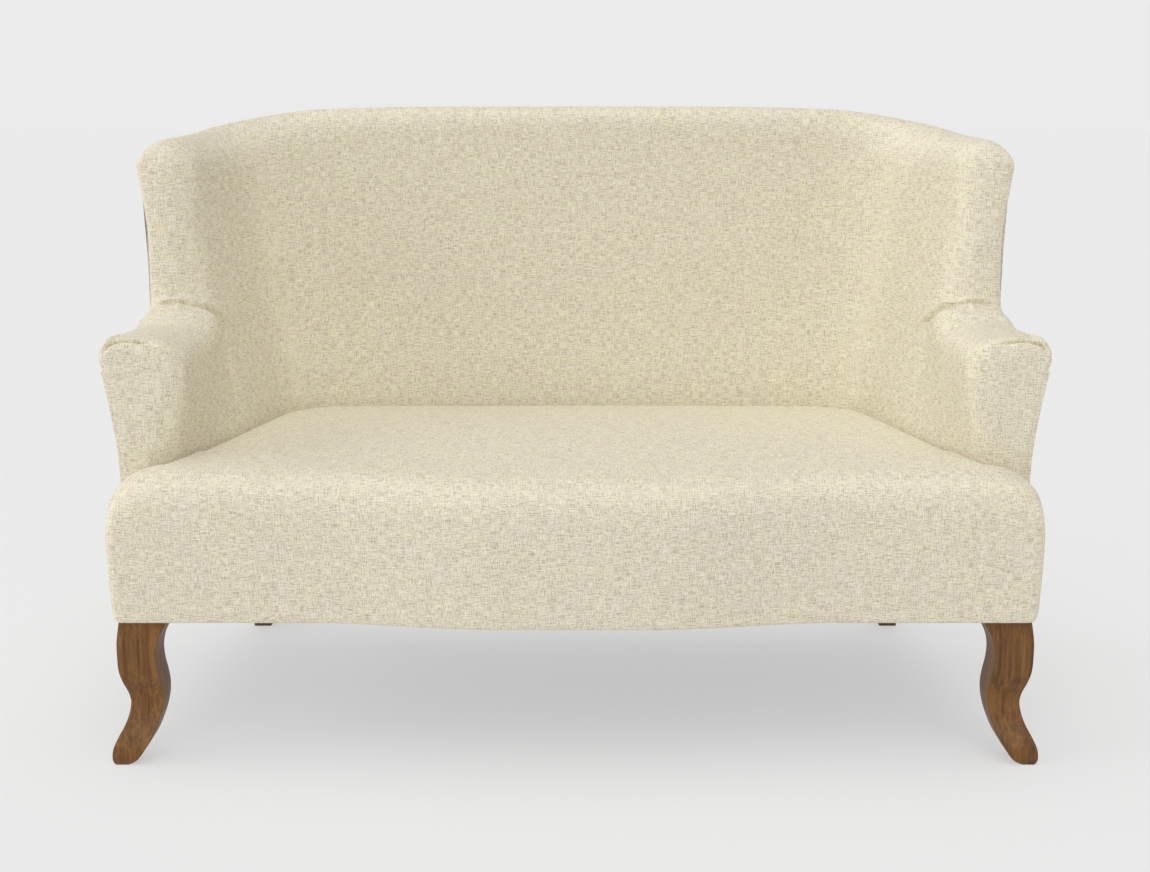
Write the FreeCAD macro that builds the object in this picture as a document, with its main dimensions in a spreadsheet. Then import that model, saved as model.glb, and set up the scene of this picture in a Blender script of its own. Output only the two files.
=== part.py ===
import FreeCAD
import Part
import math
import os
import re

# High back settee, millimetres. +X is the sitter's left seen from the front, +Y points to the back,
# +Z is up. The origin is the middle of the footprint on the floor.

doc = FreeCAD.newDocument("settee")
sheet = doc.addObject("Spreadsheet::Sheet", "sizes")
row = 0


def size(name, value):
    """Put one named size in the sheet and give its value back."""
    global row
    row += 1
    sheet.set("A%d" % row, name)
    sheet.set("B%d" % row, str(value))
    sheet.setAlias("B%d" % row, name)
    sheet.recompute()
    return float(sheet.get(name))


# Depth is measured from the line of the front toes, so a place in front of them is negative.
bow_reach = size("bow_reach", 42.0)
heel_reach = size("heel_reach", 748.0)
middle = (heel_reach - bow_reach) / 2

# Heights of the levels at which the walls of the tub are drawn.
base_level = size("base_level", 231.0)
seat_level = size("seat_level", 475.0)
elbow_level = size("elbow_level", 640.0)
wing_level = size("wing_level", 800.0)
crown_level = size("crown_level", 920.0)
LEVELS = [base_level, seat_level, elbow_level, wing_level, crown_level]
LEVEL_NAMES = ["base", "seat", "elbow", "wing", "crown"]


def by_level(name, values):
    """One size for each level of the tub."""
    return [size(name + "_" + level, value) for level, value in zip(LEVEL_NAMES, values)]


# Plan of the tub at each level: the outside is two sides, two round corners and the back.
outer_half = by_level("outer_half", [706.0, 712.0, 715.0, 717.0, 733.0])
outer_back = by_level("outer_back", [650.0, 664.0, 674.0, 682.0, 689.0])
outer_round = by_level("outer_round", [110.0, 140.0, 180.0, 215.0, 225.0])
# The inside is a straight back, two round corners and two sides that open towards the front.
inner_straight = by_level("inner_straight", [417.0, 417.0, 425.0, 435.0, 443.0])
inner_back = by_level("inner_back", [562.0, 568.0, 596.0, 612.0, 618.0])
inner_round = by_level("inner_round", [110.0, 120.0, 150.0, 170.0, 170.0])
inner_turn = by_level("inner_turn", [12.0, 12.0, 14.0, 20.0, 20.0])
inner_mouth = by_level("inner_mouth", [640.0, 636.0, 650.0, 690.0, 690.0])

# The front edge of the wings, which leans back as it rises.
nose_setback = size("nose_setback", 300.0)
nose_lean = size("nose_lean", 0.11)
nose_round = size("nose_round", 45.0)

# Height of the crest along the tub, from the wings to the middle of the back.
wing_crest = size("wing_crest", 963.0)
shoulder_crest = wing_crest + size("shoulder_rise", 7.0)
corner_crest = wing_crest + size("corner_rise", 23.0)
edge_crest = wing_crest + size("edge_rise", 49.0)
back_crest = wing_crest + size("back_rise", 56.0)
back_seam = size("back_seam", 400.0)

# Arms.
arm_front = size("arm_front", 90.0)
arm_crest = size("arm_crest", 662.0)
arm_flare_front = size("arm_flare_front", 738.0)
arm_flare_rear = size("arm_flare_rear", 728.0)
arm_lip_front = size("arm_lip_front", 608.0)
arm_lip_rear = size("arm_lip_rear", 603.0)
arm_inner_roll = size("arm_inner_roll", 44.0)
arm_outer_roll = size("arm_outer_roll", 30.0)
arm_face_round = size("arm_face_round", 14.0)
arm_sweep = size("arm_sweep", 34.0)
arm_sweep_length = size("arm_sweep_length", 90.0)
arm_seam = size("arm_seam", 612.0)
crest_step = size("crest_step", 2.0)

# Seat: a bowed front with rounded ears in front of the arms, and a low crown behind it.
side_front = size("side_front", -7.0)
bow_flat = size("bow_flat", 110.0)
bow_end = size("bow_end", 410.0)
rail_tuck = size("rail_tuck", 12.0)
ear_over = size("ear_over", 8.0)
ear_half = outer_half[1] + ear_over
ear_fall = size("ear_fall", 90.0)
ear_corner = size("ear_corner", 18.0)
seat_side_gap = size("seat_side_gap", 1.5)
front_roll = size("front_roll", 58.0)
seat_edge = size("seat_edge", 470.0)
seat_rise = size("seat_rise", 4.0)
seat_crown = size("seat_crown", 15.0)
front_dip = size("front_dip", 0.0012)

# Beech frame.
rail_thick = size("rail_thick", 28.0)
rail_high = size("rail_high", 97.0)
rail_outer = size("rail_outer", 702.0)
rail_cover = size("rail_cover", 14.5)
front_rail_back = size("front_rail_back", 47.5)
post_inner = size("post_inner", 580.0)
post_wide = size("post_wide", 42.0)
post_deep = size("post_deep", 30.0)
post_back = size("post_back", 638.0)
post_rake = size("post_rake", 3.0)
post_top = size("post_top", 906.0)
stump_front = size("stump_front", 112.0)
stump_deep = size("stump_deep", 38.0)
arm_rail_level = size("arm_rail_level", 594.0)
arm_rail_thick = size("arm_rail_thick", 22.0)
arm_rail_wide = size("arm_rail_wide", 36.0)
tack_rail_level = size("tack_rail_level", 362.0)
tack_rail_high = size("tack_rail_high", 30.0)
wing_post_front = size("wing_post_front", 326.0)
wing_post_deep = size("wing_post_deep", 30.0)
wing_post_lean = size("wing_post_lean", 45.0)
wing_post_splay = size("wing_post_splay", 11.0)
wing_rail_level = size("wing_rail_level", 868.0)
wing_rail_thick = size("wing_rail_thick", 32.0)
top_rail_level = size("top_rail_level", 906.0)
slat_place = size("slat_place", 190.0)
slat_wide = size("slat_wide", 60.0)
slat_thick = size("slat_thick", 22.0)
back_tack_level = size("back_tack_level", 385.0)
back_tack_high = size("back_tack_high", 40.0)
centre_rail_wide = size("centre_rail_wide", 40.0)
centre_rail_drop = size("centre_rail_drop", 12.0)
block_reach = size("block_reach", 70.0)
block_high = size("block_high", 60.0)

# Legs.
toe_out = size("toe_out", 25.0)
toe_half = rail_outer + toe_out
back_leg_top = size("back_leg_top", 601.0)
back_foot = size("back_foot", 626.0)
back_foot_deep = size("back_foot_deep", 44.0)
back_foot_wide = size("back_foot_wide", 34.0)
bolt_radius = size("bolt_radius", 4.0)
bolt_long = size("bolt_long", 115.0)
bolt_in_leg = size("bolt_in_leg", 45.0)
bolt_inset = size("bolt_inset", 63.0)
bolt_half = toe_half - bolt_inset
bolt_setback = size("bolt_setback", 60.0)
nut_radius = size("nut_radius", 7.5)
nut_high = size("nut_high", 6.5)
washer_radius = size("washer_radius", 9.0)
washer_high = size("washer_high", 1.6)

# Webbing, hessian and the dust cover.
web_count = size("web_count", 9)
web_wide = size("web_wide", 60.0)
web_pitch = size("web_pitch", 125.0)
web_thick = size("web_thick", 1.6)
hessian_thick = size("hessian_thick", 1.0)
hessian_half = size("hessian_half", 590.0)
back_web_count = size("back_web_count", 6)
dust_thick = size("dust_thick", 1.2)
dust_margin = size("dust_margin", 14.0)

# Fabric, clearances and the space kept for the frame inside the walls.
cover_thick = size("cover_thick", 2.0)
panel_thick = size("panel_thick", 3.0)
soft_gap = size("soft_gap", 0.3)
frame_space = size("frame_space", 40.0)
frame_clear = size("frame_clear", 7.0)
frame_seat = size("frame_seat", 0.3)
seam_drop = size("seam_drop", 62.0)
foam_bottom = size("foam_bottom", 345.0)


# How many facets round a rolled edge and round a back corner.
roll_steps = 5
corner_steps = 6


def V(x, y, z):
    """A point from its width, its depth behind the toe line and its height."""
    return FreeCAD.Vector(x, y - middle, z)


def loft(sections):
    """A closed solid of flat facets through closed sections with equally many points."""
    faces = [Part.Face(Part.makePolygon(sections[0] + sections[0][:1])),
             Part.Face(Part.makePolygon(sections[-1] + sections[-1][:1]))]
    for one, two in zip(sections, sections[1:]):
        for k in range(len(one)):
            a, b = one[k - 1], one[k]
            c, d = two[k], two[k - 1]
            if (a - c).Length < (b - d).Length:
                corners = ((a, b, c), (a, c, d))
            else:
                corners = ((a, b, d), (b, c, d))
            faces += [Part.Face(Part.makePolygon(list(three) + [three[0]])) for three in corners]
    solid = Part.Solid(Part.Shell(faces))
    if solid.Volume < 0:
        solid.reverse()
    return solid


def quarter(start, end, centre, steps):
    """Points from start to end round a centre, both left out: an even quarter turn."""
    found = []
    for k in range(1, steps):
        angle = math.pi / 2 * k / steps
        found.append(centre + (start - centre) * math.cos(angle) + (end - centre) * math.sin(angle))
    return found


def at_level(values, z):
    """The value of a size between its levels, straight from one level to the next."""
    if z <= LEVELS[0]:
        return values[0]
    for low, high, a, b in zip(LEVELS, LEVELS[1:], values, values[1:]):
        if z <= high:
            return a + (b - a) * (z - low) / (high - low)
    return values[-1]


def nose_line(z):
    return nose_setback + nose_lean * (z - seat_level)


def inner_outline(z, inset):
    """Centres and radii of the inside corner arc and of the inside side arc."""
    turn = math.radians(at_level(inner_turn, z))
    radius = at_level(inner_round, z) + inset
    back = at_level(inner_back, z) + inset
    cx = at_level(inner_straight, z)
    cy = back - radius
    jx = cx + radius * math.cos(turn)
    jy = cy + radius * math.sin(turn)
    dx = jx - at_level(inner_mouth, z) - inset
    dy = jy - arm_front
    reach = -(dx * dx + dy * dy) / (2 * (math.cos(turn) * dx + math.sin(turn) * dy))
    sx = jx + reach * math.cos(turn)
    sy = jy + reach * math.sin(turn)
    return turn, radius, back, cx, cy, jx, jy, sx, sy, abs(reach)


def inner_side_x(z, y, inset):
    """Half width between the sides at one height and depth."""
    turn, radius, back, cx, cy, jx, jy, sx, sy, reach = inner_outline(z, inset)
    across = math.sqrt(max(reach * reach - (y - sy) ** 2, 0.0))
    return sx - across if sx > jx else sx + across


class Station:
    """One place along the right half of the tub, from the nose of the wing to the back seam."""

    def __init__(self, kind, value, crest):
        self.kind = kind
        self.value = value
        self.crest = crest

    def outer(self, z, inset):
        half = at_level(outer_half, z) - inset
        back = at_level(outer_back, z) - inset
        radius = at_level(outer_round, z) - inset
        if self.kind == "nose":
            return half, nose_line(z) + self.value
        if self.kind == "side":
            start = nose_line(z) + nose_round
            return half, start + self.value * (back - radius - start)
        if self.kind == "corner":
            angle = math.radians(90 * self.value)
            return (half - radius + radius * math.cos(angle),
                    back - radius + radius * math.sin(angle))
        return self.value, back

    def inner(self, z, inset):
        turn, radius, back, cx, cy, jx, jy, sx, sy, reach = inner_outline(z, inset)
        if self.kind == "nose":
            y = nose_line(z) + self.value
            return inner_side_x(z, y, inset), y
        if self.kind == "side":
            start = nose_line(z) + nose_round
            y = start + self.value * (jy - start)
            return inner_side_x(z, y, inset), y
        if self.kind == "corner":
            angle = turn + (math.pi / 2 - turn) * self.value
            return cx + radius * math.cos(angle), cy + radius * math.sin(angle)
        return self.value, back

    def rounding(self, inset):
        """How far the wall has reached its full thickness behind the nose."""
        if self.kind != "nose":
            return 1.0
        depth = nose_round - inset
        left = 1 - (self.value - inset) / depth
        return math.sqrt(max(1 - left * left, 0.0))

    def top(self, inset):
        full = self.crest - inset
        return full - (nose_round - inset) * (1 - self.rounding(inset))


def crest_round(share):
    """Height of the crest at a share of the turn round the back corner."""
    if share < 0.5:
        return shoulder_crest + (corner_crest - shoulder_crest) * 2 * share
    return corner_crest + (edge_crest - corner_crest) * (2 * share - 1)


def corner_places():
    """The stations round the back corner, whose crest rises towards the back."""
    shares = [k / corner_steps for k in range(corner_steps + 1)]
    found = [Station("corner", share, crest_round(share)) for share in shares]
    return found + [Station("back", back_seam, back_crest)]


def tub_stations(inset):
    """The stations of the right half for a wall drawn in by an inset."""
    noses = [0.03, 0.14, 0.36, 0.68]
    depth = nose_round - inset
    found = [Station("nose", inset + share * depth, wing_crest) for share in noses]
    found.append(Station("side", 0.0, wing_crest))
    found.append(Station("side", 0.5, wing_crest + crest_step))
    return found + corner_places()


def wall_points(station, z, inset, side):
    """Inside and outside point of the wall at one station, height and side of the settee."""
    ix, iy = station.inner(z, inset)
    ox, oy = station.outer(z, inset)
    share = station.rounding(inset)
    mx, my = (ix + ox) / 2, (iy + oy) / 2
    ix, iy = mx + (ix - mx) * share, my + (iy - my) * share
    ox, oy = mx + (ox - mx) * share, my + (oy - my) * share
    return V(side * ix, iy, z), V(side * ox, oy, z)


def wall_section(place, inset, bottom, side):
    """Closed section of the wall: inside face, rolled top and outside face."""
    top = place.top(inset)
    inside, outside = wall_points(place, top - nose_round, inset, side)
    half = (outside - inside).Length / 2
    roll = top - half
    rows = [bottom, seat_level, (seat_level + roll) / 2, roll]
    pairs = [wall_points(place, z, inset, side) for z in rows]
    inner = [pair[0] for pair in pairs]
    outer = [pair[1] for pair in pairs]
    lean = nose_lean if place.kind == "nose" else 0.0
    centre = (inner[-1] + outer[-1]) * 0.5
    crest = centre + FreeCAD.Vector(0, lean, 1) * half
    rolled = quarter(inner[-1], crest, centre, roll_steps) + [crest]
    rolled += quarter(crest, outer[-1], centre, roll_steps)
    return inner + rolled + outer[::-1]


def wall(inset, side, bottom):
    """Half of the tub wall as one solid, from the nose of the wing to the back seam."""
    return loft([wall_section(place, inset, bottom, side) for place in tub_stations(inset)])


def back_wall(inset, bottom):
    """The straight middle of the back."""
    place = Station("back", back_seam, back_crest)
    return loft([wall_section(place, inset, bottom, -1), wall_section(place, inset, bottom, 1)])


def arm_top(y):
    """Height of the arm's crest, which sweeps up into the wing."""
    start = nose_setback - arm_sweep_length
    rise = max(0.0, (y - start) / arm_sweep_length)
    return arm_crest + arm_sweep * min(rise, 1.3) ** 2


def arm_share(y):
    return (y - arm_front) / (nose_setback - arm_front)


def arm_outer_x(y, z):
    """Half width of the arm's outside face, which flares above the seat."""
    low, seat = outer_half[0], outer_half[1]
    flare = arm_flare_front + (arm_flare_rear - arm_flare_front) * arm_share(y)
    shoulder = arm_top(y) - arm_outer_roll
    if z <= seat_level:
        return low + (seat - low) * (z - base_level) / (seat_level - base_level)
    arm = seat + (flare - seat) * (z - seat_level) / (shoulder - seat_level)
    blend = min(max((y - nose_setback) / nose_round, 0.0), 1.0)
    return arm + (at_level(outer_half, z) - arm) * blend


def arm_section(y, inset, bottom, side):
    """Closed section of the arm across the settee."""
    top = arm_top(y) - inset
    outer_roll = arm_outer_roll - inset
    inner_roll = arm_inner_roll - inset
    flare = arm_outer_x(y, top + inset - arm_outer_roll) - inset
    lip = arm_lip_front + (arm_lip_rear - arm_lip_front) * arm_share(y) + inset
    low = V(side * inner_side_x(bottom, y, inset), y, bottom)
    seat = V(side * inner_side_x(seat_level, y, inset), y, seat_level)
    a0 = V(side * lip, y, top - inner_roll)
    a1 = V(side * (lip + inner_roll), y, top)
    a_centre = V(side * (lip + inner_roll), y, top - inner_roll)
    b0 = V(side * (flare - outer_roll), y, top)
    b1 = V(side * flare, y, top - outer_roll)
    b_centre = V(side * (flare - outer_roll), y, top - outer_roll)
    out_seat = V(side * (arm_outer_x(y, seat_level) - inset), y, seat_level)
    out_low = V(side * (arm_outer_x(y, bottom) - inset), y, bottom)
    return ([low, seat, a0] + quarter(a0, a1, a_centre, roll_steps) + [a1, b0]
            + quarter(b0, b1, b_centre, roll_steps) + [b1, out_seat, out_low])


def arm_wall(inset, side, bottom):
    """The arm from its front face to inside the wing, with a rounded front edge."""
    wires = []
    for share in (0.0, 0.15, 0.45, 1.0):
        drawn = arm_face_round * (1 - math.sqrt(1 - (1 - share) ** 2))
        wires.append(arm_section(arm_front + inset + share * arm_face_round, inset + drawn, bottom, side))
    sweep_start = nose_setback - arm_sweep_length
    for y in (sweep_start, (sweep_start + nose_setback) / 2, nose_setback, nose_setback + nose_round):
        wires.append(arm_section(y, inset, bottom, side))
    return loft(wires)


def panel_places():
    places = [Station("side", 0.0, wing_crest), Station("side", 0.5, wing_crest + crest_step)]
    return places + corner_places()


def panel_section(points_out, points_in):
    return points_out + points_in[::-1]


def side_panel(near, far, front, rise, side):
    """Layer between two depths below the outside face, from the arm front to the back seam."""
    wires = []
    sweep_start = nose_setback - arm_sweep_length
    for y in (front, sweep_start, (sweep_start + nose_setback) / 2, nose_setback, nose_setback + nose_round):
        top = arm_seam + rise + arm_top(y) - arm_crest
        outs = []
        ins = []
        for z in (base_level, seat_level, (seat_level + top) / 2, top):
            place = y if y <= nose_setback else nose_line(z) + 0.75 * nose_round
            outs.append(V(side * (arm_outer_x(place, z) - near), place, z))
            ins.append(V(side * (arm_outer_x(place, z) - far), place, z))
        wires.append(panel_section(outs, ins))
    for place in panel_places():
        wires.append(place_section(place, near, far, rise, side))
    return loft(wires)


def place_section(place, near, far, rise, side):
    top = place.crest - seam_drop + rise
    rows = [base_level, seat_level, (seat_level + top) / 2, top]
    outs = []
    ins = []
    for z in rows:
        x, y = place.outer(z, near)
        outs.append(V(side * x, y, z))
        x, y = place.outer(z, far)
        ins.append(V(side * x, y, z))
    return panel_section(outs, ins)


def back_panel(near, far, rise):
    place = Station("back", back_seam, back_crest)
    return loft([place_section(place, near, far, rise, -1), place_section(place, near, far, rise, 1)])


parts = []


def keep(name, shape):
    """A piece whose shape is worked out here from the sheet's sizes."""
    piece = doc.addObject("Part::Feature", name)
    piece.Label = name
    piece.Shape = shape
    parts.append(piece)
    return piece


def mirrored(name, source):
    """The same piece on the other side of the settee."""
    piece = doc.addObject("Part::Mirroring", name)
    piece.Label = name
    piece.Source = source
    piece.Normal = FreeCAD.Vector(1, 0, 0)
    parts.append(piece)
    return piece


def bound(text):
    """A sheet formula from a line of named sizes."""
    return re.sub("[a-z][a-z_]+", lambda word: "sizes." + word.group(0), text)


MIDDLE = "(heel_reach - bow_reach) / 2"


def box(name, x, y, z, wide, deep, high):
    """A square piece of timber bound to the sheet; y is behind the toe line."""
    piece = doc.addObject("Part::Box", name)
    piece.Label = name
    formulas = {"Length": wide, "Width": deep, "Height": high, "Placement.Base.x": x,
                "Placement.Base.y": y + " - " + MIDDLE, "Placement.Base.z": z}
    for key, text in formulas.items():
        piece.setExpression(key, bound(text))
    parts.append(piece)
    return piece


def plan_body(name, edges, level, high):
    """A board sawn to a plan outline: a sketch padded upwards from its level."""
    body = doc.addObject("PartDesign::Body", name)
    body.Label = name
    plane = [item for item in body.Origin.OriginFeatures if item.Role == "XY_Plane"][0]
    sketch = body.newObject("Sketcher::SketchObject", name + "_outline")
    sketch.AttachmentSupport = [(plane, "")]
    sketch.MapMode = "FlatFace"
    sketch.addGeometry(edges, False)
    pad = body.newObject("PartDesign::Pad", name + "_pad")
    pad.Profile = sketch
    pad.setExpression("Length", bound(high))
    body.setExpression("Placement.Base.z", bound(level))
    parts.append(body)
    return body


def largest(shape):
    """The main solid of a cut shape, without slivers."""
    return max(shape.Solids, key=lambda solid: solid.Volume)


def flat(x, y):
    return V(x, y, 0)


def segment(a, b):
    return Part.LineSegment(a, b)


def bend(a, b, c):
    return Part.Arc(a, b, c)


def post(low, high):
    """A straight post between two rectangles: x, y, width, depth and height of each."""
    rings = []
    for x, y, wide, deep, z in (low, high):
        rings.append([V(x, y, z), V(x + wide, y, z), V(x + wide, y + deep, z), V(x, y + deep, z)])
    return loft(rings)


def block(x, y, z, wide, deep, high):
    return Part.makeBox(wide, deep, high, V(x, y, z))


rail_top = base_level + rail_high


def bow(x):
    """Depth of the seat's front at its belly: forward in the middle, with an ogee to each side."""
    share = (abs(x) - bow_flat) / (bow_end - bow_flat)
    share = min(max(share, 0.0), 1.0)
    return -bow_reach + (side_front + bow_reach) * (1 - math.cos(math.pi * share)) / 2


def seat_height(x, y):
    """Height of the seat's top at any place."""
    if y < arm_front:
        return seat_edge - front_dip * (arm_front - y) ** 2
    along = min((y - arm_front) / (inner_back[1] - arm_front), 1.0)
    across = max(1 - (x / inner_mouth[1]) ** 2, 0.0)
    return seat_edge + seat_rise * along + seat_crown * 4 * along * (1 - along) * across


def front_section(x, inset, back, bottom):
    """Closed section of the seat's front from front to back at one width."""
    reach = abs(x)
    ear_start = ear_half - inset - ear_fall
    fall = max((reach - ear_start) / ear_fall, 0.0)
    drop = front_roll * (1 - math.sqrt(max(1 - fall * fall, 0.0)))
    turn = max((reach - (ear_half - inset - ear_corner)) / ear_corner, 0.0)
    front = bow(x) + inset + ear_corner * (1 - math.sqrt(max(1 - turn * turn, 0.0)))
    roll = front_roll - inset
    top = seat_height(x, front + roll) - drop - inset
    start = V(x, front, top - roll)
    crest = V(x, front + roll, top)
    centre = V(x, front + roll, top - roll)
    low = V(x, front + rail_tuck, bottom)
    rear = V(x, back, seat_height(x, back) - drop - inset)
    return [low, start] + quarter(start, crest, centre, roll_steps) + [crest, rear, V(x, back, bottom)]


def seat_front(inset, back, bottom):
    """The whole width of the seat's front with its ears."""
    half = ear_half - inset
    turns = [half - ear_corner * (1 - math.sin(math.pi / 2 * k / 4)) for k in range(5)]
    halves = [0.0, bow_flat]
    halves += [bow_flat + (bow_end - bow_flat) * k / 5 for k in range(1, 6)]
    halves += [half - ear_fall, half - ear_fall * 0.62, half - ear_fall * 0.35] + turns
    widths = [-x for x in halves[:0:-1]] + halves
    return loft([front_section(x, inset, back, bottom) for x in widths])


def seat_plan(inset):
    """Space between the walls, drawn in by an inset, from under the seat to over its crown."""
    rings = []
    for z in (base_level, seat_level, seat_level + front_roll):
        half = [(inner_side_x(z, y, inset), y) for y in (arm_front - 2, 150.0, 210.0, 300.0, 345.0)]
        half += [place.inner(z, inset) for place in corner_places()[:-1]]
        points = [V(x, y, z) for x, y in half] + [V(-x, y, z) for x, y in half[::-1]]
        rings.append(points)
    return loft(rings)


def seat_middle(inset, front, bottom):
    """The crowned part of the seat between the arms and the back."""
    reach = inner_mouth[0] + 10
    rows = [front, 150.0, 230.0, 310.0, 390.0, 470.0, 530.0, inner_back[1] + 10]
    sections = []
    for k in range(-5, 6):
        x = reach * k / 5
        top = [V(x, y, seat_height(x, y) - inset) for y in rows]
        sections.append([V(x, front, bottom)] + top + [V(x, rows[-1], bottom)])
    return loft(sections).common(seat_plan(-seat_side_gap - inset))


# Seat frame.
front_edge = [(x, bow(x) + rail_tuck + rail_cover) for x in (0.0, bow_flat)]
side_edge = bow(rail_outer) + rail_tuck + rail_cover
lead = front_edge[0][1]
half_way = (bow_flat + bow_end) / 2
mean = (lead + side_edge) / 2
curve_out = (bow_end - bow_flat) / 4
quarter_dip = (side_edge - lead) * 0.146


def front_rail_outline():
    """Bowed front edge: a straight middle, an ogee of two arcs to each side, and square ends."""
    edges = [segment(flat(-bow_flat, lead), flat(bow_flat, lead))]
    for side in (1, -1):
        a = flat(side * bow_flat, lead)
        b = flat(side * (bow_flat + curve_out), lead + quarter_dip)
        c = flat(side * half_way, mean)
        d = flat(side * (bow_end - curve_out), side_edge - quarter_dip)
        e = flat(side * bow_end, side_edge)
        corner = flat(side * rail_outer, side_edge)
        rear = flat(side * rail_outer, front_rail_back)
        edges += [bend(a, b, c), bend(c, d, e), segment(e, corner), segment(corner, rear)]
    edges.append(segment(flat(-rail_outer, front_rail_back), flat(rail_outer, front_rail_back)))
    return edges


def side_rail_outline():
    """Straight side rail that turns round the back corner and meets the back post."""
    bend_back = post_back
    radius = outer_round[0] - (outer_half[0] - rail_outer)
    cx = rail_outer - radius
    cy = bend_back - radius
    inner = radius - rail_thick
    meet = post_inner + post_wide
    a_out = math.acos((meet - cx) / radius)
    a_in = math.acos((meet - cx) / inner)

    def at(r, a):
        return flat(cx + r * math.cos(a), cy + r * math.sin(a))

    return [segment(flat(rail_outer, front_rail_back), flat(rail_outer, cy)),
            bend(at(radius, 0), at(radius, a_out / 2), at(radius, a_out)),
            segment(at(radius, a_out), at(inner, a_in)),
            bend(at(inner, a_in), at(inner, a_in / 2), at(inner, 0)),
            segment(at(inner, 0), flat(rail_outer - rail_thick, front_rail_back)),
            segment(flat(rail_outer - rail_thick, front_rail_back), flat(rail_outer, front_rail_back))]


def wing_rail_outline():
    """Curved rail under the crest from the wing post to the back post."""
    level = wing_rail_level
    out = at_level(outer_half, level) - frame_clear
    back = at_level(outer_back, level) - frame_clear
    radius = at_level(outer_round, level) - frame_clear
    cx, cy = out - radius, back - radius
    inner = radius - rail_thick
    start = wing_post_front + wing_post_lean
    meet = post_inner + post_wide
    a_out = math.acos((meet - cx) / radius)
    a_in = math.acos((meet - cx) / inner)

    def at(r, a):
        return flat(cx + r * math.cos(a), cy + r * math.sin(a))

    return [segment(flat(out, start), flat(out, cy)),
            bend(at(radius, 0), at(radius, a_out / 2), at(radius, a_out)),
            segment(at(radius, a_out), at(inner, a_in)),
            bend(at(inner, a_in), at(inner, a_in / 2), at(inner, 0)),
            segment(at(inner, 0), flat(out - rail_thick, start)),
            segment(flat(out - rail_thick, start), flat(out, start))]


front_rail = plan_body("front_rail", front_rail_outline(), "base_level", "rail_high")
side_rail = plan_body("side_rail_right", side_rail_outline(), "base_level", "rail_high")
mirrored("side_rail_left", side_rail)
back_rail = box("back_rail", "-post_inner", "post_back - post_deep", "base_level",
                "2 * post_inner", "post_deep", "rail_high")
centre_rail = box("centre_rail", "-centre_rail_wide / 2", "front_rail_back",
                  "base_level + centre_rail_drop", "centre_rail_wide",
                  "post_back - post_deep - front_rail_back", "rail_high - 2 * centre_rail_drop")


# Posts and upper rails.
def back_post_shape():
    low = (post_inner, post_back - post_deep, post_wide, post_deep, base_level)
    high = (post_inner, post_back - post_deep + post_rake, post_wide, post_deep, post_top)
    return post(low, high)


def wing_post_shape():
    inner = rail_outer - rail_thick
    low = (inner, wing_post_front, rail_thick, wing_post_deep, rail_top)
    high = (inner + wing_post_splay, wing_post_front + wing_post_lean, rail_thick, wing_post_deep,
            wing_rail_level)
    return post(low, high)


def hanger_bolt(x, y):
    return Part.makeCylinder(bolt_radius, bolt_long, V(x, y, base_level - bolt_in_leg))


back_bolt_y = post_back - post_deep / 2
back_bolt = hanger_bolt(back_leg_top, back_bolt_y)
front_bolt = hanger_bolt(bolt_half, bolt_setback)

back_post = keep("back_post_right", back_post_shape().cut(back_bolt))
mirrored("back_post_left", back_post)
wing_post = keep("wing_post_right", wing_post_shape())
mirrored("wing_post_left", wing_post)
wing_rail = plan_body("wing_rail_right", wing_rail_outline(), "wing_rail_level", "wing_rail_thick")
mirrored("wing_rail_left", wing_rail)

arm_post = box("arm_post_right", "rail_outer - rail_thick", "stump_front", "base_level + rail_high",
               "rail_thick", "stump_deep", "arm_rail_level - base_level - rail_high")
mirrored("arm_post_left", arm_post)


def on_wing_post(z):
    """Depth of the wing post's front face at one height."""
    return wing_post_front + wing_post_lean * (z - rail_top) / (wing_rail_level - rail_top)


def between_posts(x, front, z, wide, high, wing_end):
    """A rail from the arm post to the leaning face of the wing post."""
    rings = []
    for level in (z, z + high):
        end = on_wing_post(level) + wing_end
        rings.append([V(x, front, level), V(x + wide, front, level), V(x + wide, end, level),
                      V(x, end, level)])
    return loft(rings)


arm_rail = keep("arm_rail_right", between_posts(rail_outer - rail_thick, stump_front, arm_rail_level,
                                                arm_rail_wide, arm_rail_thick, 0.0))
mirrored("arm_rail_left", arm_rail)
arm_tack = keep("arm_tack_rail_right", between_posts(rail_outer - rail_thick, stump_front + stump_deep,
                                                     tack_rail_level, rail_thick, tack_rail_high, 0.0))
mirrored("arm_tack_rail_left", arm_tack)


def top_rail_shape():
    """Top rail of the back, bowed forward to sit on the posts; its upper edge follows the crest."""
    radius = outer_round[-1]
    turn_x = outer_half[-1] - radius
    middle_y = at_level(outer_back, top_rail_level) - frame_clear
    post_y = post_back + post_rake
    reach = post_inner + post_wide
    end = crest_round(math.asin(math.sqrt(1 - ((reach - turn_x) / radius) ** 2)) * 2 / math.pi)
    rear = [(reach, post_y, end), (turn_x, middle_y, edge_crest), (back_seam, middle_y, back_crest)]
    rings = []
    for x, y, crest in [(-x, y, crest) for x, y, crest in rear] + rear[::-1]:
        top = crest - seam_drop - frame_seat
        rings.append([V(x, y - post_deep, top_rail_level), V(x, y, top_rail_level), V(x, y, top),
                      V(x, y - post_deep, top)])
    return loft(rings)


top_rail = keep("back_top_rail", top_rail_shape())
back_tack = box("back_tack_rail", "-post_inner", "post_back - post_deep", "back_tack_level",
                "2 * post_inner", "post_deep", "back_tack_high")


def slat_shape(x):
    low_z = back_tack_level + back_tack_high
    low_y = post_back - slat_thick
    high_y = at_level(outer_back, top_rail_level) - frame_clear - slat_thick
    return post((x - slat_wide / 2, low_y, slat_wide, slat_thick, low_z),
                (x - slat_wide / 2, high_y, slat_wide, slat_thick, top_rail_level))


slats = keep("back_slats", Part.makeCompound([slat_shape(-slat_place), slat_shape(slat_place)]))


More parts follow.
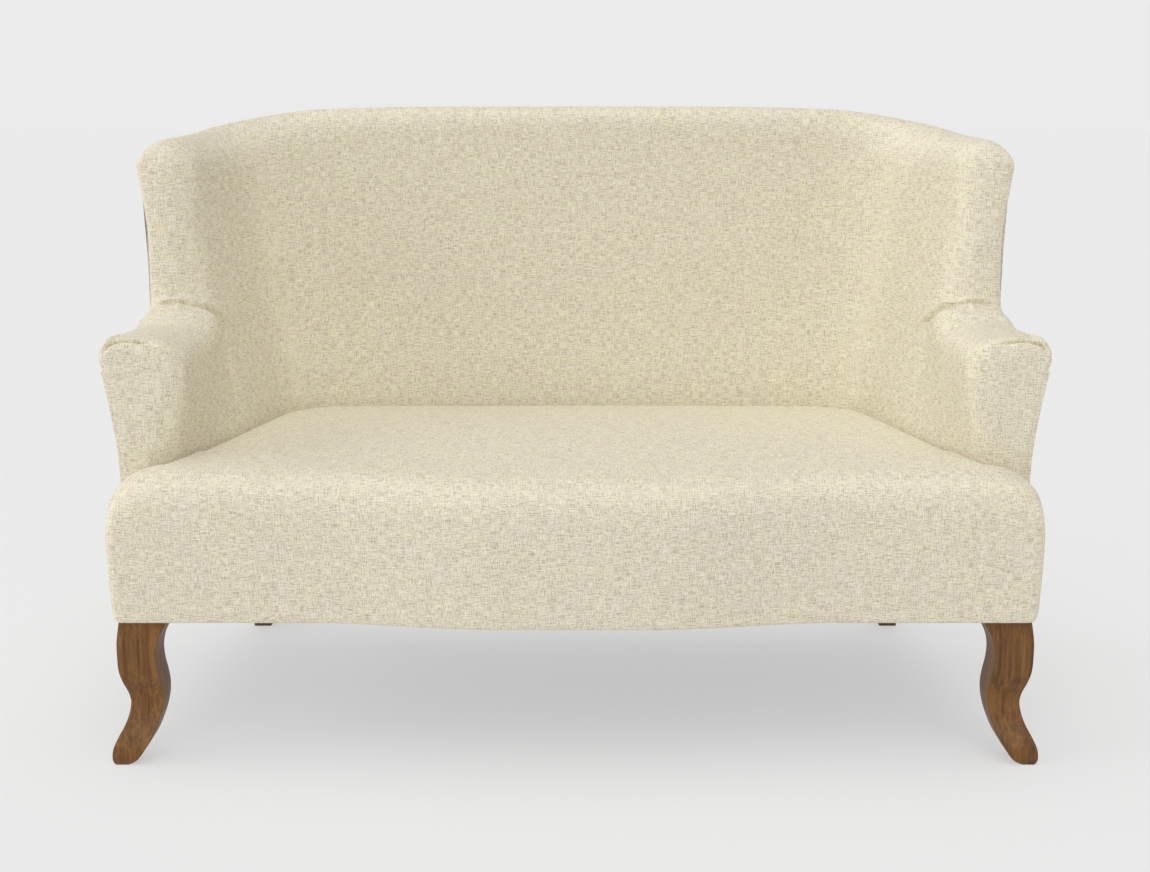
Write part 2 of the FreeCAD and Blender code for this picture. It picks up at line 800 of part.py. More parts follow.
def corner_block(side):
    """Triangular block in a front corner of the seat frame."""
    x = side * (rail_outer - rail_thick)
    corners = [(x, front_rail_back), (x - side * block_reach, front_rail_back),
               (x, front_rail_back + block_reach)]
    rings = [[V(a, b, z) for a, b in corners] for z in (base_level, base_level + block_high)]
    hole = hanger_bolt(side * bolt_half, bolt_setback)
    return loft(rings).cut(hole)


keep("corner_blocks", Part.makeCompound([corner_block(1), corner_block(-1)]))


# Front legs: square cabriole legs, cut with one S shaped outline from the front and from the side.
knee = [(0.0, 3.0), (10.0, 0.0), (26.0, 1.5), (42.0, 8.0), (59.0, 17.0), (75.0, 23.0), (95.0, 26.5),
        (112.0, 24.0), (130.0, 18.0), (150.0, 13.5), (175.0, 12.5), (200.0, 13.0), (231.0, 17.0)]
calf = [(0.0, 25.0), (7.0, 37.0), (16.0, 45.0), (26.0, 51.5), (42.0, 61.0), (58.0, 67.5), (75.0, 73.0),
        (95.0, 77.0), (115.0, 78.0), (135.0, 76.0), (155.0, 73.0), (178.0, 72.0), (198.0, 75.5),
        (214.0, 83.0), (231.0, 93.0)]
leg_high = base_level / knee[-1][0]


def leg_outline(place):
    """The two long curves of the leg and its flat ends, placed by a function of setback and height."""
    edges = []
    for curve in (knee, calf):
        points = [place(setback, z * leg_high) for z, setback in curve]
        for a, b, c in zip(points[::2], points[1::2], points[2::2]):
            edges.append(bend(a, b, c).toShape())
    for k in (0, -1):
        ends = [place(curve[k][1], curve[k][0] * leg_high) for curve in (knee, calf)]
        edges.append(segment(*ends).toShape())
    return Part.Face(Part.Wire(Part.__sortEdges__(edges)))


def front_leg_shape():
    seen = leg_outline(lambda setback, z: V(toe_half - setback, -10, z))
    across = leg_outline(lambda setback, z: V(toe_half - 110, setback, z))
    shape = seen.extrude(FreeCAD.Vector(0, 120, 0)).common(across.extrude(FreeCAD.Vector(130, 0, 0)))
    return shape.cut(front_bolt)


front_leg = keep("front_leg_right", front_leg_shape())
mirrored("front_leg_left", front_leg)


def back_leg_shape():
    """Sabre shaped back leg, from under the back post to a foot further back."""
    top_y = post_back - post_deep / 2
    foot_y = heel_reach - back_foot_deep / 2
    rings = []
    for share in (0.0, 0.12, 0.28, 0.46, 0.64, 0.82, 1.0):
        z = base_level * (1 - share)
        sweep = 0.45 * share + 0.55 * share ** 2
        y = top_y + (foot_y - top_y) * sweep
        x = back_leg_top + (back_foot - back_leg_top) * sweep
        wide = (post_wide + (back_foot_wide - post_wide) * share) / 2
        deep = (back_foot_deep + 6 * math.sin(math.pi * share)) / 2
        rings.append([V(x - wide, y - deep, z), V(x + wide, y - deep, z), V(x + wide, y + deep, z),
                      V(x - wide, y + deep, z)])
    return loft(rings).cut(back_bolt)


back_leg = keep("back_leg_right", back_leg_shape())
mirrored("back_leg_left", back_leg)


def hardware():
    bolts = []
    nuts = []
    for side in (-1, 1):
        bolts += [hanger_bolt(side * bolt_half, bolt_setback), hanger_bolt(side * back_leg_top, back_bolt_y)]
        seat = V(side * bolt_half, bolt_setback, base_level + block_high)
        washer = Part.makeCylinder(washer_radius, washer_high, seat)
        washer = washer.cut(Part.makeCylinder(bolt_radius, washer_high, seat))
        above = seat + FreeCAD.Vector(0, 0, washer_high)
        ring = [above + FreeCAD.Vector(nut_radius * math.cos(math.pi / 3 * k),
                                       nut_radius * math.sin(math.pi / 3 * k), 0) for k in range(6)]
        lifted = [point + FreeCAD.Vector(0, 0, nut_high) for point in ring]
        nut = loft([ring, lifted]).cut(Part.makeCylinder(bolt_radius, nut_high, above))
        nuts += [washer, nut]
    return bolts, nuts


bolts, nuts = hardware()
keep("leg_bolts", Part.makeCompound(bolts))
keep("leg_nuts", Part.makeCompound(nuts))



def back_strap(x):
    """A strap of webbing from the tack rail to the top rail, on their front faces."""
    low = post_back - post_deep
    high = at_level(outer_back, top_rail_level) - frame_clear - post_deep
    bends = [(low, back_tack_level + 3), (low, back_tack_level + back_tack_high),
             (high, top_rail_level), (high, top_rail_level + back_tack_high - 3)]
    rings = []
    for y, z in bends:
        rings.append([V(x - web_wide / 2, y - web_thick, z), V(x + web_wide / 2, y - web_thick, z),
                      V(x + web_wide / 2, y, z), V(x - web_wide / 2, y, z)])
    return loft(rings)


back_straps = [back_strap((k - (back_web_count - 1) / 2) * web_pitch) for k in range(int(back_web_count))]
back_webbing = keep("back_webbing", Part.makeCompound(back_straps))

# Webbing and cloth that carry the seat.
web_front = front_rail_back - rail_thick + 4
web_long = post_back - 4 - web_front
straps = []
for k in range(int(web_count)):
    x = (k - (web_count - 1) / 2) * web_pitch
    straps.append(block(x - web_wide / 2, web_front, rail_top, web_wide, web_long, web_thick))
keep("seat_webbing", Part.makeCompound(straps))
hessian_level = rail_top + web_thick
keep("seat_hessian", block(-hessian_half, web_front, hessian_level, 2 * hessian_half,
                           inner_back[0] - web_front, hessian_thick))
foam_level = hessian_level + hessian_thick

# Soft pieces.
full = cover_thick + soft_gap
doc.recompute()
frame_right = [side_rail.Shape, back_post.Shape, wing_post.Shape, wing_rail.Shape, arm_post.Shape,
               arm_rail.Shape, arm_tack.Shape, top_rail.Shape, back_tack.Shape]
frame_middle = [top_rail.Shape, back_tack.Shape, slats.Shape, back_webbing.Shape]
cavity = side_panel(-8, frame_space, arm_front + 16, 0, 1)
skin = side_panel(-8, panel_thick + soft_gap, arm_front, soft_gap, 1)
wing_space = wall(-soft_gap, 1, base_level)
wing_foam = keep("wing_foam_right", wall(full, 1, foam_bottom).cut([cavity, skin] + frame_right))
mirrored("wing_foam_left", wing_foam)
arm_foam = arm_wall(full, 1, foam_bottom).cut([cavity, skin, wing_space] + frame_right)
arm_foam = keep("arm_foam_right", largest(arm_foam))
mirrored("arm_foam_left", arm_foam)
back_space = back_panel(-8, frame_space, 0)
back_foam = keep("back_foam", back_wall(full, foam_bottom).cut([back_space] + frame_middle))

# Covers: skins between a wall and the same wall drawn in, open where the outside panels lie.
band = side_panel(-8, 9, arm_front + cover_thick + soft_gap, soft_gap, 1)
wing_skin = wall(0, 1, foam_bottom).cut([wall(cover_thick, 1, foam_bottom - 5), band] + frame_right)
wing_skin = largest(wing_skin)
back_skin = back_wall(0, foam_bottom).cut(back_wall(cover_thick, foam_bottom - 5))
back_skin = back_skin.cut(back_panel(-8, 9, soft_gap))
other_skin = wing_skin.mirror(FreeCAD.Vector(0, 0, 0), FreeCAD.Vector(1, 0, 0))
keep("inside_back_cover", back_skin.fuse([wing_skin, other_skin]).removeSplitter())
arm_skin = arm_wall(0, 1, foam_bottom).cut(arm_wall(cover_thick, 1, foam_bottom - 5))
arm_cover = keep("arm_cover_right", largest(arm_skin.cut([band, wing_space])))
mirrored("arm_cover_left", arm_cover)
outside_arm = keep("outside_arm_cover_right", side_panel(0, panel_thick, arm_front + cover_thick, 0, 1))
mirrored("outside_arm_cover_left", outside_arm)
keep("outside_back_cover", back_panel(0, panel_thick, 0))

keep("seat_foam", seat_middle(full, arm_front, foam_level))
under = block(-rail_outer, front_rail_back, base_level - 10, 2 * rail_outer, 60.0,
              foam_level - base_level + 10)
over_rail = block(-hessian_half, web_front, rail_top, 2 * hessian_half, 60.0, foam_level - rail_top)
edge_foam = seat_front(full, arm_front, base_level).cut([front_rail.Shape, under, over_rail])
keep("front_edge_foam", edge_foam)
outer_seat = seat_front(0, arm_front, base_level).fuse(seat_middle(0, arm_front, foam_level))
inner_seat = seat_front(cover_thick, arm_front + 1, base_level - 5)
inner_seat = inner_seat.fuse(seat_middle(cover_thick, arm_front - 1, foam_level - 5))
keep("seat_cover", outer_seat.cut([inner_seat, under]))

dust = block(-rail_outer + dust_margin, front_rail_back - rail_thick + dust_margin,
             base_level - dust_thick, 2 * (rail_outer - dust_margin),
             post_back - front_rail_back + rail_thick - 2 * dust_margin, dust_thick)
notches = []
for side in (-1, 1):
    front_x = side * (toe_half - calf[-1][1] / 2 - knee[-1][1] / 2)
    notches.append(block(front_x - 50, 0, base_level - 10, 100, 104, 20))
    notches.append(block(side * 640 - 80, 560, base_level - 10, 160, 100, 20))
keep("dust_cover", dust.cut(notches))

doc.recompute()
for piece in doc.Objects:
    if "Invalid" in piece.State or "Error" in piece.State:
        raise RuntimeError("failed: " + piece.Label)
for piece in parts:
    if piece.Shape.isNull() or not piece.Shape.isValid():
        raise RuntimeError("no valid shape: " + piece.Label)
os.makedirs("parts", exist_ok=True)
for piece in parts:
    piece.Shape.exportStep("parts/" + piece.Label + ".step")
print(len(parts), "parts")
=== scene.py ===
import math

import bmesh
import bpy
import numpy as np
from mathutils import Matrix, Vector


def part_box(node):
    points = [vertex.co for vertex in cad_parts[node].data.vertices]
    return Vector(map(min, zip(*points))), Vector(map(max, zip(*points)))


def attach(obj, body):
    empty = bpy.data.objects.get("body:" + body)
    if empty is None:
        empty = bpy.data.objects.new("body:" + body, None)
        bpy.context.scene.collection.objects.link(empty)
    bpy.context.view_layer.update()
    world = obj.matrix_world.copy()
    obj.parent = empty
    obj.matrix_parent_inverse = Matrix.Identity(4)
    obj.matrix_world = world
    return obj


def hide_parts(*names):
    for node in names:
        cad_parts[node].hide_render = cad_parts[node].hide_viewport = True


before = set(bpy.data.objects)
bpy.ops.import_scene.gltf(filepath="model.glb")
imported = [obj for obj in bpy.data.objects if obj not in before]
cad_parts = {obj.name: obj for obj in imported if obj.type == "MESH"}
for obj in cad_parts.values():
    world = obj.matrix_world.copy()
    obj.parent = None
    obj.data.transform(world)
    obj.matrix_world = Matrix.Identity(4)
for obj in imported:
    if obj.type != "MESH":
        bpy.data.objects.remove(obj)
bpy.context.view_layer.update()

# Sizes in millimetres, close to the part's own. Depth runs back from the line of the front toes.
MIDDLE = 353.0
LEVELS = [231.0, 475.0, 640.0, 800.0, 920.0]
OUTER_HALF = [708.0, 715.0, 723.0, 722.0, 740.0]
OUTER_BACK = [650.0, 664.0, 674.0, 682.0, 689.0]
OUTER_ROUND = [110.0, 140.0, 180.0, 215.0, 225.0]
INNER_STRAIGHT = [417.0, 417.0, 425.0, 435.0, 443.0]
INNER_BACK = [562.0, 568.0, 596.0, 612.0, 618.0]
INNER_ROUND = [110.0, 120.0, 150.0, 170.0, 170.0]
INNER_TURN = [12.0, 12.0, 14.0, 20.0, 20.0]
INNER_MOUTH = [640.0, 636.0, 650.0, 690.0, 690.0]
NOSE_SETBACK, NOSE_LEAN, NOSE_ROUND = 300.0, 0.11, 45.0
BASE, SEAT = 231.0, 475.0
ARM_FRONT, ARM_CREST, ARM_CORNER = 90.0, 662.0, 36.0
ARM_SEAM, SEAM_DROP = 612.0, 62.0
PANEL_SPACE = 3.2
ARM_BASE_HALF, ARM_SEAT_HALF, ARM_FLARE_HALF, FLARE_LOSS = 709.0, 717.0, 742.0, 8.0
ARM_LIP, LIP_LOSS, ARM_OUTER_ROLL, ARM_INNER_ROLL, ARM_CROWN = 608.0, 5.0, 26.0, 50.0, 2.5
ARM_RISE, ARM_DROP, ARM_END = 30.0, 62.0, 427.0
CREST_PLACES = [0.0, 1.0, 1.5, 2.0, 2.4, 3.0]
CREST_HEIGHTS = [963.0, 970.0, 993.0, 1013.5, 1018.5, 1019.0]


def curve_share(t, start, end, start_slope, end_slope):
    """A smooth curve from start to end at a share t, from the slopes over its whole span."""
    return ((2 * t ** 3 - 3 * t ** 2 + 1) * start + (t ** 3 - 2 * t ** 2 + t) * start_slope
            + (3 * t ** 2 - 2 * t ** 3) * end + (t ** 3 - t ** 2) * end_slope)


def smooth_value(values, z):
    """A size at any height, on a smooth curve through its values at the levels."""
    z = min(max(z, LEVELS[0]), LEVELS[-1] + 120.0)
    slopes = []
    for k in range(len(LEVELS)):
        a, b = max(k - 1, 0), min(k + 1, len(LEVELS) - 1)
        slopes.append((values[b] - values[a]) / (LEVELS[b] - LEVELS[a]))
    if z >= LEVELS[-1]:
        return values[-1]
    k = max(i for i in range(len(LEVELS) - 1) if z >= LEVELS[i])
    span = LEVELS[k + 1] - LEVELS[k]
    return curve_share((z - LEVELS[k]) / span, values[k], values[k + 1],
                       span * slopes[k], span * slopes[k + 1])


def ease(t):
    """A soft step from 0 to 1 between the shares 0 and 1."""
    t = min(max(t, 0.0), 1.0)
    return t * t * (3 - 2 * t)


def nose_line(z):
    """How far back the wing's front edge lies at one height."""
    return NOSE_SETBACK + NOSE_LEAN * (z - SEAT)


def inner_curve(z):
    """Centres and radii of the two arcs of the inside plan at one height."""
    turn = math.radians(smooth_value(INNER_TURN, z))
    radius = smooth_value(INNER_ROUND, z)
    cx = smooth_value(INNER_STRAIGHT, z)
    cy = smooth_value(INNER_BACK, z) - radius
    jx, jy = cx + radius * math.cos(turn), cy + radius * math.sin(turn)
    dx, dy = jx - smooth_value(INNER_MOUTH, z), jy - ARM_FRONT
    reach = -(dx * dx + dy * dy) / (2 * (math.cos(turn) * dx + math.sin(turn) * dy))
    return turn, radius, cx, cy, jx, jy, jx + reach * math.cos(turn), jy + reach * math.sin(turn), abs(reach)


def inner_side_x(z, y):
    """Half width of the space between the sides at one height and depth."""
    turn, radius, cx, cy, jx, jy, sx, sy, reach = inner_curve(z)
    across = math.sqrt(max(reach * reach - (y - sy) ** 2, 0.0))
    return sx - across if sx > jx else sx + across


def crest_height(s):
    """Height of the crest at a place s along the tub: 0 nose, 1 shoulder, 2 back seam, 3 middle."""
    places, heights = CREST_PLACES, CREST_HEIGHTS
    slopes = [0.0]
    for k in range(1, len(places) - 1):
        before = (heights[k] - heights[k - 1]) / (places[k] - places[k - 1])
        after = (heights[k + 1] - heights[k]) / (places[k + 1] - places[k])
        slopes.append(2 * before * after / (before + after))
    slopes.append(0.0)
    k = max(i for i in range(len(places) - 1) if s >= places[i] - 1e-9)
    span = places[k + 1] - places[k]
    return curve_share((s - places[k]) / span, heights[k], heights[k + 1],
                       span * slopes[k], span * slopes[k + 1])


def wall_pair(s, z):
    """Inside and outside point of the tub at one place and height, and how thick the nose is there."""
    half, back = smooth_value(OUTER_HALF, z), smooth_value(OUTER_BACK, z)
    round_out = smooth_value(OUTER_ROUND, z)
    turn, radius, cx, cy, jx, jy, sx, sy, reach = inner_curve(z)
    nose = nose_line(z)
    if s < 0.3:
        y = nose + NOSE_ROUND * s / 0.3
        left = 1 - s / 0.3
        return (inner_side_x(z, y), y), (half, y), math.sqrt(max(1 - left * left, 0.0))
    if s < 1.0:
        t = (s - 0.3) / 0.7
        start = nose + NOSE_ROUND
        y_in, y_out = start + t * (jy - start), start + t * (back - round_out - start)
        return (inner_side_x(z, y_in), y_in), (half, y_out), 1.0
    if s < 2.0:
        t = s - 1.0
        a, b = turn + (math.pi / 2 - turn) * t, math.pi / 2 * t
        inside = cx + radius * math.cos(a), cy + radius * math.sin(a)
        return inside, (half - round_out * (1 - math.cos(b)), back - round_out * (1 - math.sin(b))), 1.0
    t = s - 2.0
    return (cx * (1 - t), cy + radius), ((half - round_out) * (1 - t), back), 1.0


def seam_height(s):
    """Where the outside panel ends below the crest."""
    return crest_height(s) - SEAM_DROP


def tub_section(s, steps, roll_steps):
    """One section of the tub: up the inside, over the rolled crest and down the outside."""
    thick_here = wall_pair(s, 900.0)[2]
    top = crest_height(s) - NOSE_ROUND * (1 - thick_here)
    inside, outside, share = wall_pair(s, top - NOSE_ROUND)
    half = math.dist(inside, outside) / 2 * share
    roll = top - half

    def pair(z):
        inside, outside, share = wall_pair(s, z)
        mid = [(inside[k] + outside[k]) / 2 for k in (0, 1)]
        inside = [mid[k] + (inside[k] - mid[k]) * share for k in (0, 1)]
        corner = (1 - (1 - share * share) ** 3) ** (1 / 6)
        outside = [mid[k] + (outside[k] - mid[k]) * corner for k in (0, 1)]
        return inside, outside

    heights = [BASE + (roll - BASE) * k / steps for k in range(steps + 1)]
    rows_in = [(*pair(z)[0], z) for z in heights]
    rows_out = []
    for z in heights:
        inside, outside = pair(z)
        depth = PANEL_SPACE * min(max((seam_height(s) - z) / 8.0, 0.0), 1.0) * ease((s - 0.1) / 0.07)
        length = max(math.dist(inside, outside), 1e-6)
        depth = min(depth, length / 3)
        outside = [outside[k] + (inside[k] - outside[k]) * depth / length for k in (0, 1)]
        rows_out.append((*outside, z))
    a, b = rows_in[-1], rows_out[-1]
    arc = []
    for k in range(1, roll_steps):
        angle = math.pi * k / roll_steps
        t = (1 - math.cos(angle)) / 2
        lean = NOSE_LEAN if s < 0.3 else 0.0
        up = half * math.sin(angle)
        arc.append((a[0] + (b[0] - a[0]) * t, a[1] + (b[1] - a[1]) * t + lean * up, roll + up))
    return rows_in + arc + rows_out[::-1]


def mesh_piece(name, points, faces):
    """A new object from points and faces."""
    mesh = bpy.data.meshes.new(name)
    mesh.from_pydata([tuple(p) for p in points], [], faces)
    mesh.validate()
    piece = bpy.data.objects.new(name, mesh)
    bpy.context.scene.collection.objects.link(piece)
    return piece


def to_frame(points):
    """Millimetres from the toe line into the object's own frame in metres."""
    points = np.array(points, float)
    return np.column_stack([points[:, 0], points[:, 1] - MIDDLE, points[:, 2]]) / 1000.0


def tube_of_sections(sections):
    """Points and faces of a closed form through closed sections with equally many points."""
    count = len(sections[0])
    points = [p for section in sections for p in section]
    faces = []
    for j in range(len(sections) - 1):
        for k in range(count):
            n = (k + 1) % count
            faces.append((j * count + k, j * count + n, (j + 1) * count + n, (j + 1) * count + k))
    faces.append(tuple(range(count))[::-1])
    faces.append(tuple((len(sections) - 1) * count + k for k in range(count)))
    return points, faces


def tub_sections():
    """The tub's sections from the left nose round the back to the right nose."""
    noses = [0.3 * (1 - math.cos(math.pi / 2 * (k + 0.25) / 8)) for k in range(8)]
    rest = [0.3 + 0.7 * k / 9 for k in range(9)] + [1 + k / 18 for k in range(18)]
    rest += [2 + k / 14 for k in range(14)] + [3.0]
    right = [tub_section(s, 26, 22) for s in noses + rest]
    left = [[(-x, y, z) for x, y, z in section] for section in right[-2::-1]]
    return right + left


def arm_top(y):
    """Height of the arm's crest, which sweeps up into the wing."""
    return ARM_CREST + ARM_RISE * ease((y - 250.0) / 90.0) - ARM_DROP * ease((y - 345.0) / 90.0)


def arm_outer_x(y, z):
    """Half width of the arm's outside, which flares above the seat and turns in to meet the wing."""
    if z <= SEAT:
        arm = ARM_BASE_HALF + (ARM_SEAT_HALF - ARM_BASE_HALF) * (z - BASE) / (SEAT - BASE)
    else:
        flare = ARM_FLARE_HALF - FLARE_LOSS * (y - ARM_FRONT) / (NOSE_SETBACK - ARM_FRONT)
        t = min((z - SEAT) / (arm_top(y) - 30.0 - SEAT), 1.0)
        arm = ARM_SEAT_HALF + (flare - ARM_SEAT_HALF) * (0.55 * t + 0.45 * t * t)
    blend = ease((y - NOSE_SETBACK) / NOSE_ROUND)
    return arm + (smooth_value(OUTER_HALF, z) - arm) * blend


def arm_section(y, drawn, drawn_top, drawn_out):
    """One section of an arm at a depth: up the inside, over the top and down the outside."""
    top = arm_top(y) - drawn_top
    lip = ARM_LIP - LIP_LOSS * (y - ARM_FRONT) / (NOSE_SETBACK - ARM_FRONT) + drawn
    outer_roll, inner_roll = ARM_OUTER_ROLL, ARM_INNER_ROLL
    flare = arm_outer_x(y, top - outer_roll) - drawn_out
    points = []
    for k in range(9):
        z = BASE + (SEAT - BASE) * k / 8
        points.append((inner_side_x(z, y) + drawn, y, z))
    start = points[-1][0]
    for k in range(1, 13):
        t = k / 12
        z = SEAT + (top - inner_roll - SEAT) * t
        points.append((start + (lip - start) * (1.6 * t - 0.6 * t * t), y, z))
    for k in range(1, 11):
        angle = math.pi / 2 * k / 10
        points.append((lip + inner_roll * (1 - math.cos(angle)), y,
                       top - inner_roll * (1 - math.sin(angle))))
    for k in range(1, 6):
        t = k / 6
        x = lip + inner_roll + (flare - outer_roll - lip - inner_roll) * t
        points.append((x, y, top + ARM_CROWN * math.sin(math.pi * t)))
    for k in range(9):
        angle = math.pi / 2 * k / 8
        points.append((flare - outer_roll * (1 - math.sin(angle)), y,
                       top - outer_roll * (1 - math.cos(angle))))
    seam = ARM_SEAM + arm_top(y) - ARM_CREST
    for k in range(1, 31):
        z = (top - outer_roll) + (BASE - top + outer_roll) * k / 30
        space = PANEL_SPACE * min(max((seam - z) / 6.0, 0.0), 1.0)
        points.append((arm_outer_x(y, z) - drawn_out - space, y, z))
    return points


def arm_sections():
    """The right arm's sections from its rounded front edge to inside the wing."""
    sections = []
    for k in range(12):
        share = math.sin(math.pi / 2 * k / 11)
        left = 1 - math.sqrt(1 - (1 - share) ** 2)
        left_top = 1 - math.sqrt(1 - max(1 - share * ARM_CORNER / 16.0, 0.0) ** 2)
        sections.append(arm_section(ARM_FRONT + ARM_CORNER * share, ARM_CORNER * left, 16.0 * left_top,
                                    2.0 * left_top))
    start = ARM_FRONT + ARM_CORNER
    depths = [start + (ARM_END - start) * k / 44 for k in range(1, 45)]
    return sections + [arm_section(y, 0.0, 0.0, 0.0) for y in depths]


def joined(forms):
    """Points and faces of several forms together."""
    points, faces = [], []
    for more_points, more_faces in forms:
        faces += [tuple(i + len(points) for i in face) for face in more_faces]
        points += list(more_points)
    return points, faces


def remeshed(name, forms, voxel):
    """One closed form round several overlapping closed meshes."""
    piece = mesh_piece(name, *joined(forms))
    change = piece.modifiers.new("join", "REMESH")
    change.mode = "VOXEL"
    change.voxel_size = voxel
    shape = piece.evaluated_get(bpy.context.evaluated_depsgraph_get())
    mesh = bpy.data.meshes.new_from_object(shape)
    piece.modifiers.clear()
    piece.data = mesh
    return piece


def read(items, name, wide=3, kind=float):
    """One value of each of a mesh's points or edges, as the rows of an array."""
    values = np.zeros(len(items) * wide, kind)
    items.foreach_get(name, values)
    return values.reshape(-1, wide)


def relax(points, edges, weight, rounds, back=None):
    """Even a surface out: each point moves towards its neighbours, by its own weight."""
    count = np.bincount(edges.ravel(), minlength=len(points))[:, None]
    for step in range(rounds):
        total = np.zeros_like(points)
        for axis in range(3):
            total[:, axis] = (np.bincount(edges[:, 0], points[edges[:, 1], axis], len(points))
                              + np.bincount(edges[:, 1], points[edges[:, 0], axis], len(points)))
        shift = total / count - points
        factor = weight if back is None or step % 2 == 0 else -back * weight
        points = points + shift * factor[:, None]
    return points


def distance_to_line(points, line):
    """Distance of each point from a line through a list of places, and how far along it is."""
    line = np.array(line, float)
    best = np.full(len(points), 1e9)
    along = np.zeros(len(points))
    for k in range(len(line) - 1):
        a, d = line[k], line[k + 1] - line[k]
        t = np.clip((points - a) @ d / (d @ d), 0, 1)
        far = np.linalg.norm(points - a - t[:, None] * d, axis=1)
        near = far < best
        best[near] = far[near]
        along[near] = (k + t[near]) / (len(line) - 1)
    return best, along


def bell(value, width):
    """One at nothing, falling off over a width."""
    return np.exp(-(value / width) ** 2)


def write_points(mesh, points):
    """Give a mesh's points new places."""
    mesh.vertices.foreach_set("co", points.astype(np.float32).ravel())
    mesh.update()


def smooth_shading(piece):
    """Shade a piece as a smooth surface."""
    piece.data.polygons.foreach_set("use_smooth", np.ones(len(piece.data.polygons), bool))
    return piece


def mirror_sections(sections):
    """The same sections on the other side."""
    return [[(-x, y, z) for x, y, z in section] for section in sections[::-1]]


# Sizes of the upholstered tub in metres. The valley is where the wing meets the arm, in the right half.
VOXEL, VALLEY_WIDE, FOLD_REACHES = 0.005, 0.032, (0.016, 0.009)
VALLEY = [(0.600, 0.075, 0.640), (0.612, 0.045, 0.670), (0.645, 0.006, 0.694), (0.690, -0.022, 0.700),
          (0.722, -0.030, 0.680), (0.735, -0.020, 0.650)]
# Folds of the cloth, as places in the photograph: two pleats where the wing meets the arm, and the crease
# over the front of the arm.
FOLDS_SEEN = {
    "outer_pleat": [(158, 303), (168, 300), (180, 299), (190, 301)],
    "outer_pleat_end": [(180, 299), (179, 305), (177, 311)],
    "outer_groove": [(158, 306.5), (168, 303.5), (178, 303), (190, 304.5), (200, 306)],
    "inner_pleat": [(198, 302), (207, 304), (216, 310), (224, 318), (231, 323)],
    "inner_groove": [(190, 303), (200, 306), (209, 309), (217, 315), (226, 323)],
    "crease": [(103, 352), (106, 347), (111, 343), (119, 340.5), (128, 340), (138, 341), (150, 344)],
    "crease_lip": [(104, 347), (108, 342), (113, 338.5), (120, 336.5), (130, 336)],
}
# Name, width and rise of each fold; a groove has a rise below nothing.
FOLD_SHAPES = [("outer_pleat", 0.0050, 0.0056), ("outer_pleat_end", 0.0045, 0.0040),
               ("outer_groove", 0.0034, -0.0036),
               ("inner_pleat", 0.0050, 0.0070), ("inner_groove", 0.0042, -0.0085),
               ("crease", 0.0030, -0.0100), ("crease_lip", 0.0060, 0.0040)]
# The photograph's camera, in its pixels and in metres.
FOCUS, IMAGE_WIDE, IMAGE_CENTRE, IMAGE_MIDDLE = 1597.0, 1150.0, 575.3, 436.0
CAMERA_PLACE, CAMERA_PITCH = (0.0, (-2360.0 - MIDDLE) / 1000.0, 1.0), math.radians(11.3)


def make_tub():
    """Back, wings and arms in one upholstered form."""
    tub_points, tub_faces = tube_of_sections(tub_sections())
    parts = [(to_frame(tub_points), tub_faces)]
    for sections in (arm_sections(), mirror_sections(arm_sections())):
        points, faces = tube_of_sections(sections)
        parts.append((to_frame(points), faces))
    piece = remeshed("back_wings_and_arms", parts, VOXEL)
    mesh = piece.data
    points, edges = read(mesh.vertices, "co"), read(mesh.edges, "vertices", 2, int)
    points = relax(points, edges, np.full(len(points), 0.5), 6, 1.04)
    # The wing flows into the arm: the valley between them is filled and rounded.
    far = distance_to_line(folded(points), VALLEY)[0]
    points = relax(points, edges, 0.6 * bell(far, VALLEY_WIDE), 30)
    write_points(mesh, points)
    bpy.context.view_layer.update()
    lines = {name: seen_on(piece, pixels) for name, pixels in FOLDS_SEEN.items()}
    for reach in FOLD_REACHES:
        refine(mesh, lines.values(), reach)
    points, normals = read(mesh.vertices, "co"), read(mesh.vertex_normals, "vector")
    near = folded(points)
    height = np.zeros(len(points))
    for name, width, rise in FOLD_SHAPES:
        far, along = distance_to_line(near, lines[name])
        height += rise * bell(far, width) * np.clip(5 * along * (1 - along) + 0.12, 0, 1)
    write_points(mesh, points + normals * height[:, None])
    return smooth_shading(piece)


def seen_on(piece, pixels):
    """The places on a piece that the camera sees at some places in the photograph, in the right half."""
    found = []
    for x, y in pixels:
        across, up = (x - IMAGE_CENTRE) / FOCUS, (IMAGE_MIDDLE - y) / FOCUS
        ray = Vector((across, math.cos(CAMERA_PITCH) + up * math.sin(CAMERA_PITCH),
                      up * math.cos(CAMERA_PITCH) - math.sin(CAMERA_PITCH)))
        hit, place, normal, face = piece.ray_cast(Vector(CAMERA_PLACE), ray)
        if hit:
            found.append((abs(place.x), place.y, place.z))
    return found


def folded(points):
    """The places of both halves, brought to the right half."""
    return np.column_stack([np.abs(points[:, 0]), points[:, 1], points[:, 2]])


def refine(mesh, lines, reach):
    """Halve the edges near some lines."""
    near = folded(read(mesh.vertices, "co"))
    far = np.min([distance_to_line(near, line)[0] for line in lines], axis=0)
    work = bmesh.new()
    work.from_mesh(mesh)
    work.verts.ensure_lookup_table()
    edges = [e for e in work.edges if far[e.verts[0].index] < reach and far[e.verts[1].index] < reach]
    bmesh.ops.subdivide_edges(work, edges=edges, cuts=1, use_grid_fill=True)
    work.to_mesh(mesh)
    work.free()


tub = make_tub()
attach(tub, "root")
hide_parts("inside_back_cover", "arm_cover_right", "arm_cover_left", "back_foam",
            "wing_foam_right", "wing_foam_left", "arm_foam_right", "arm_foam_left")


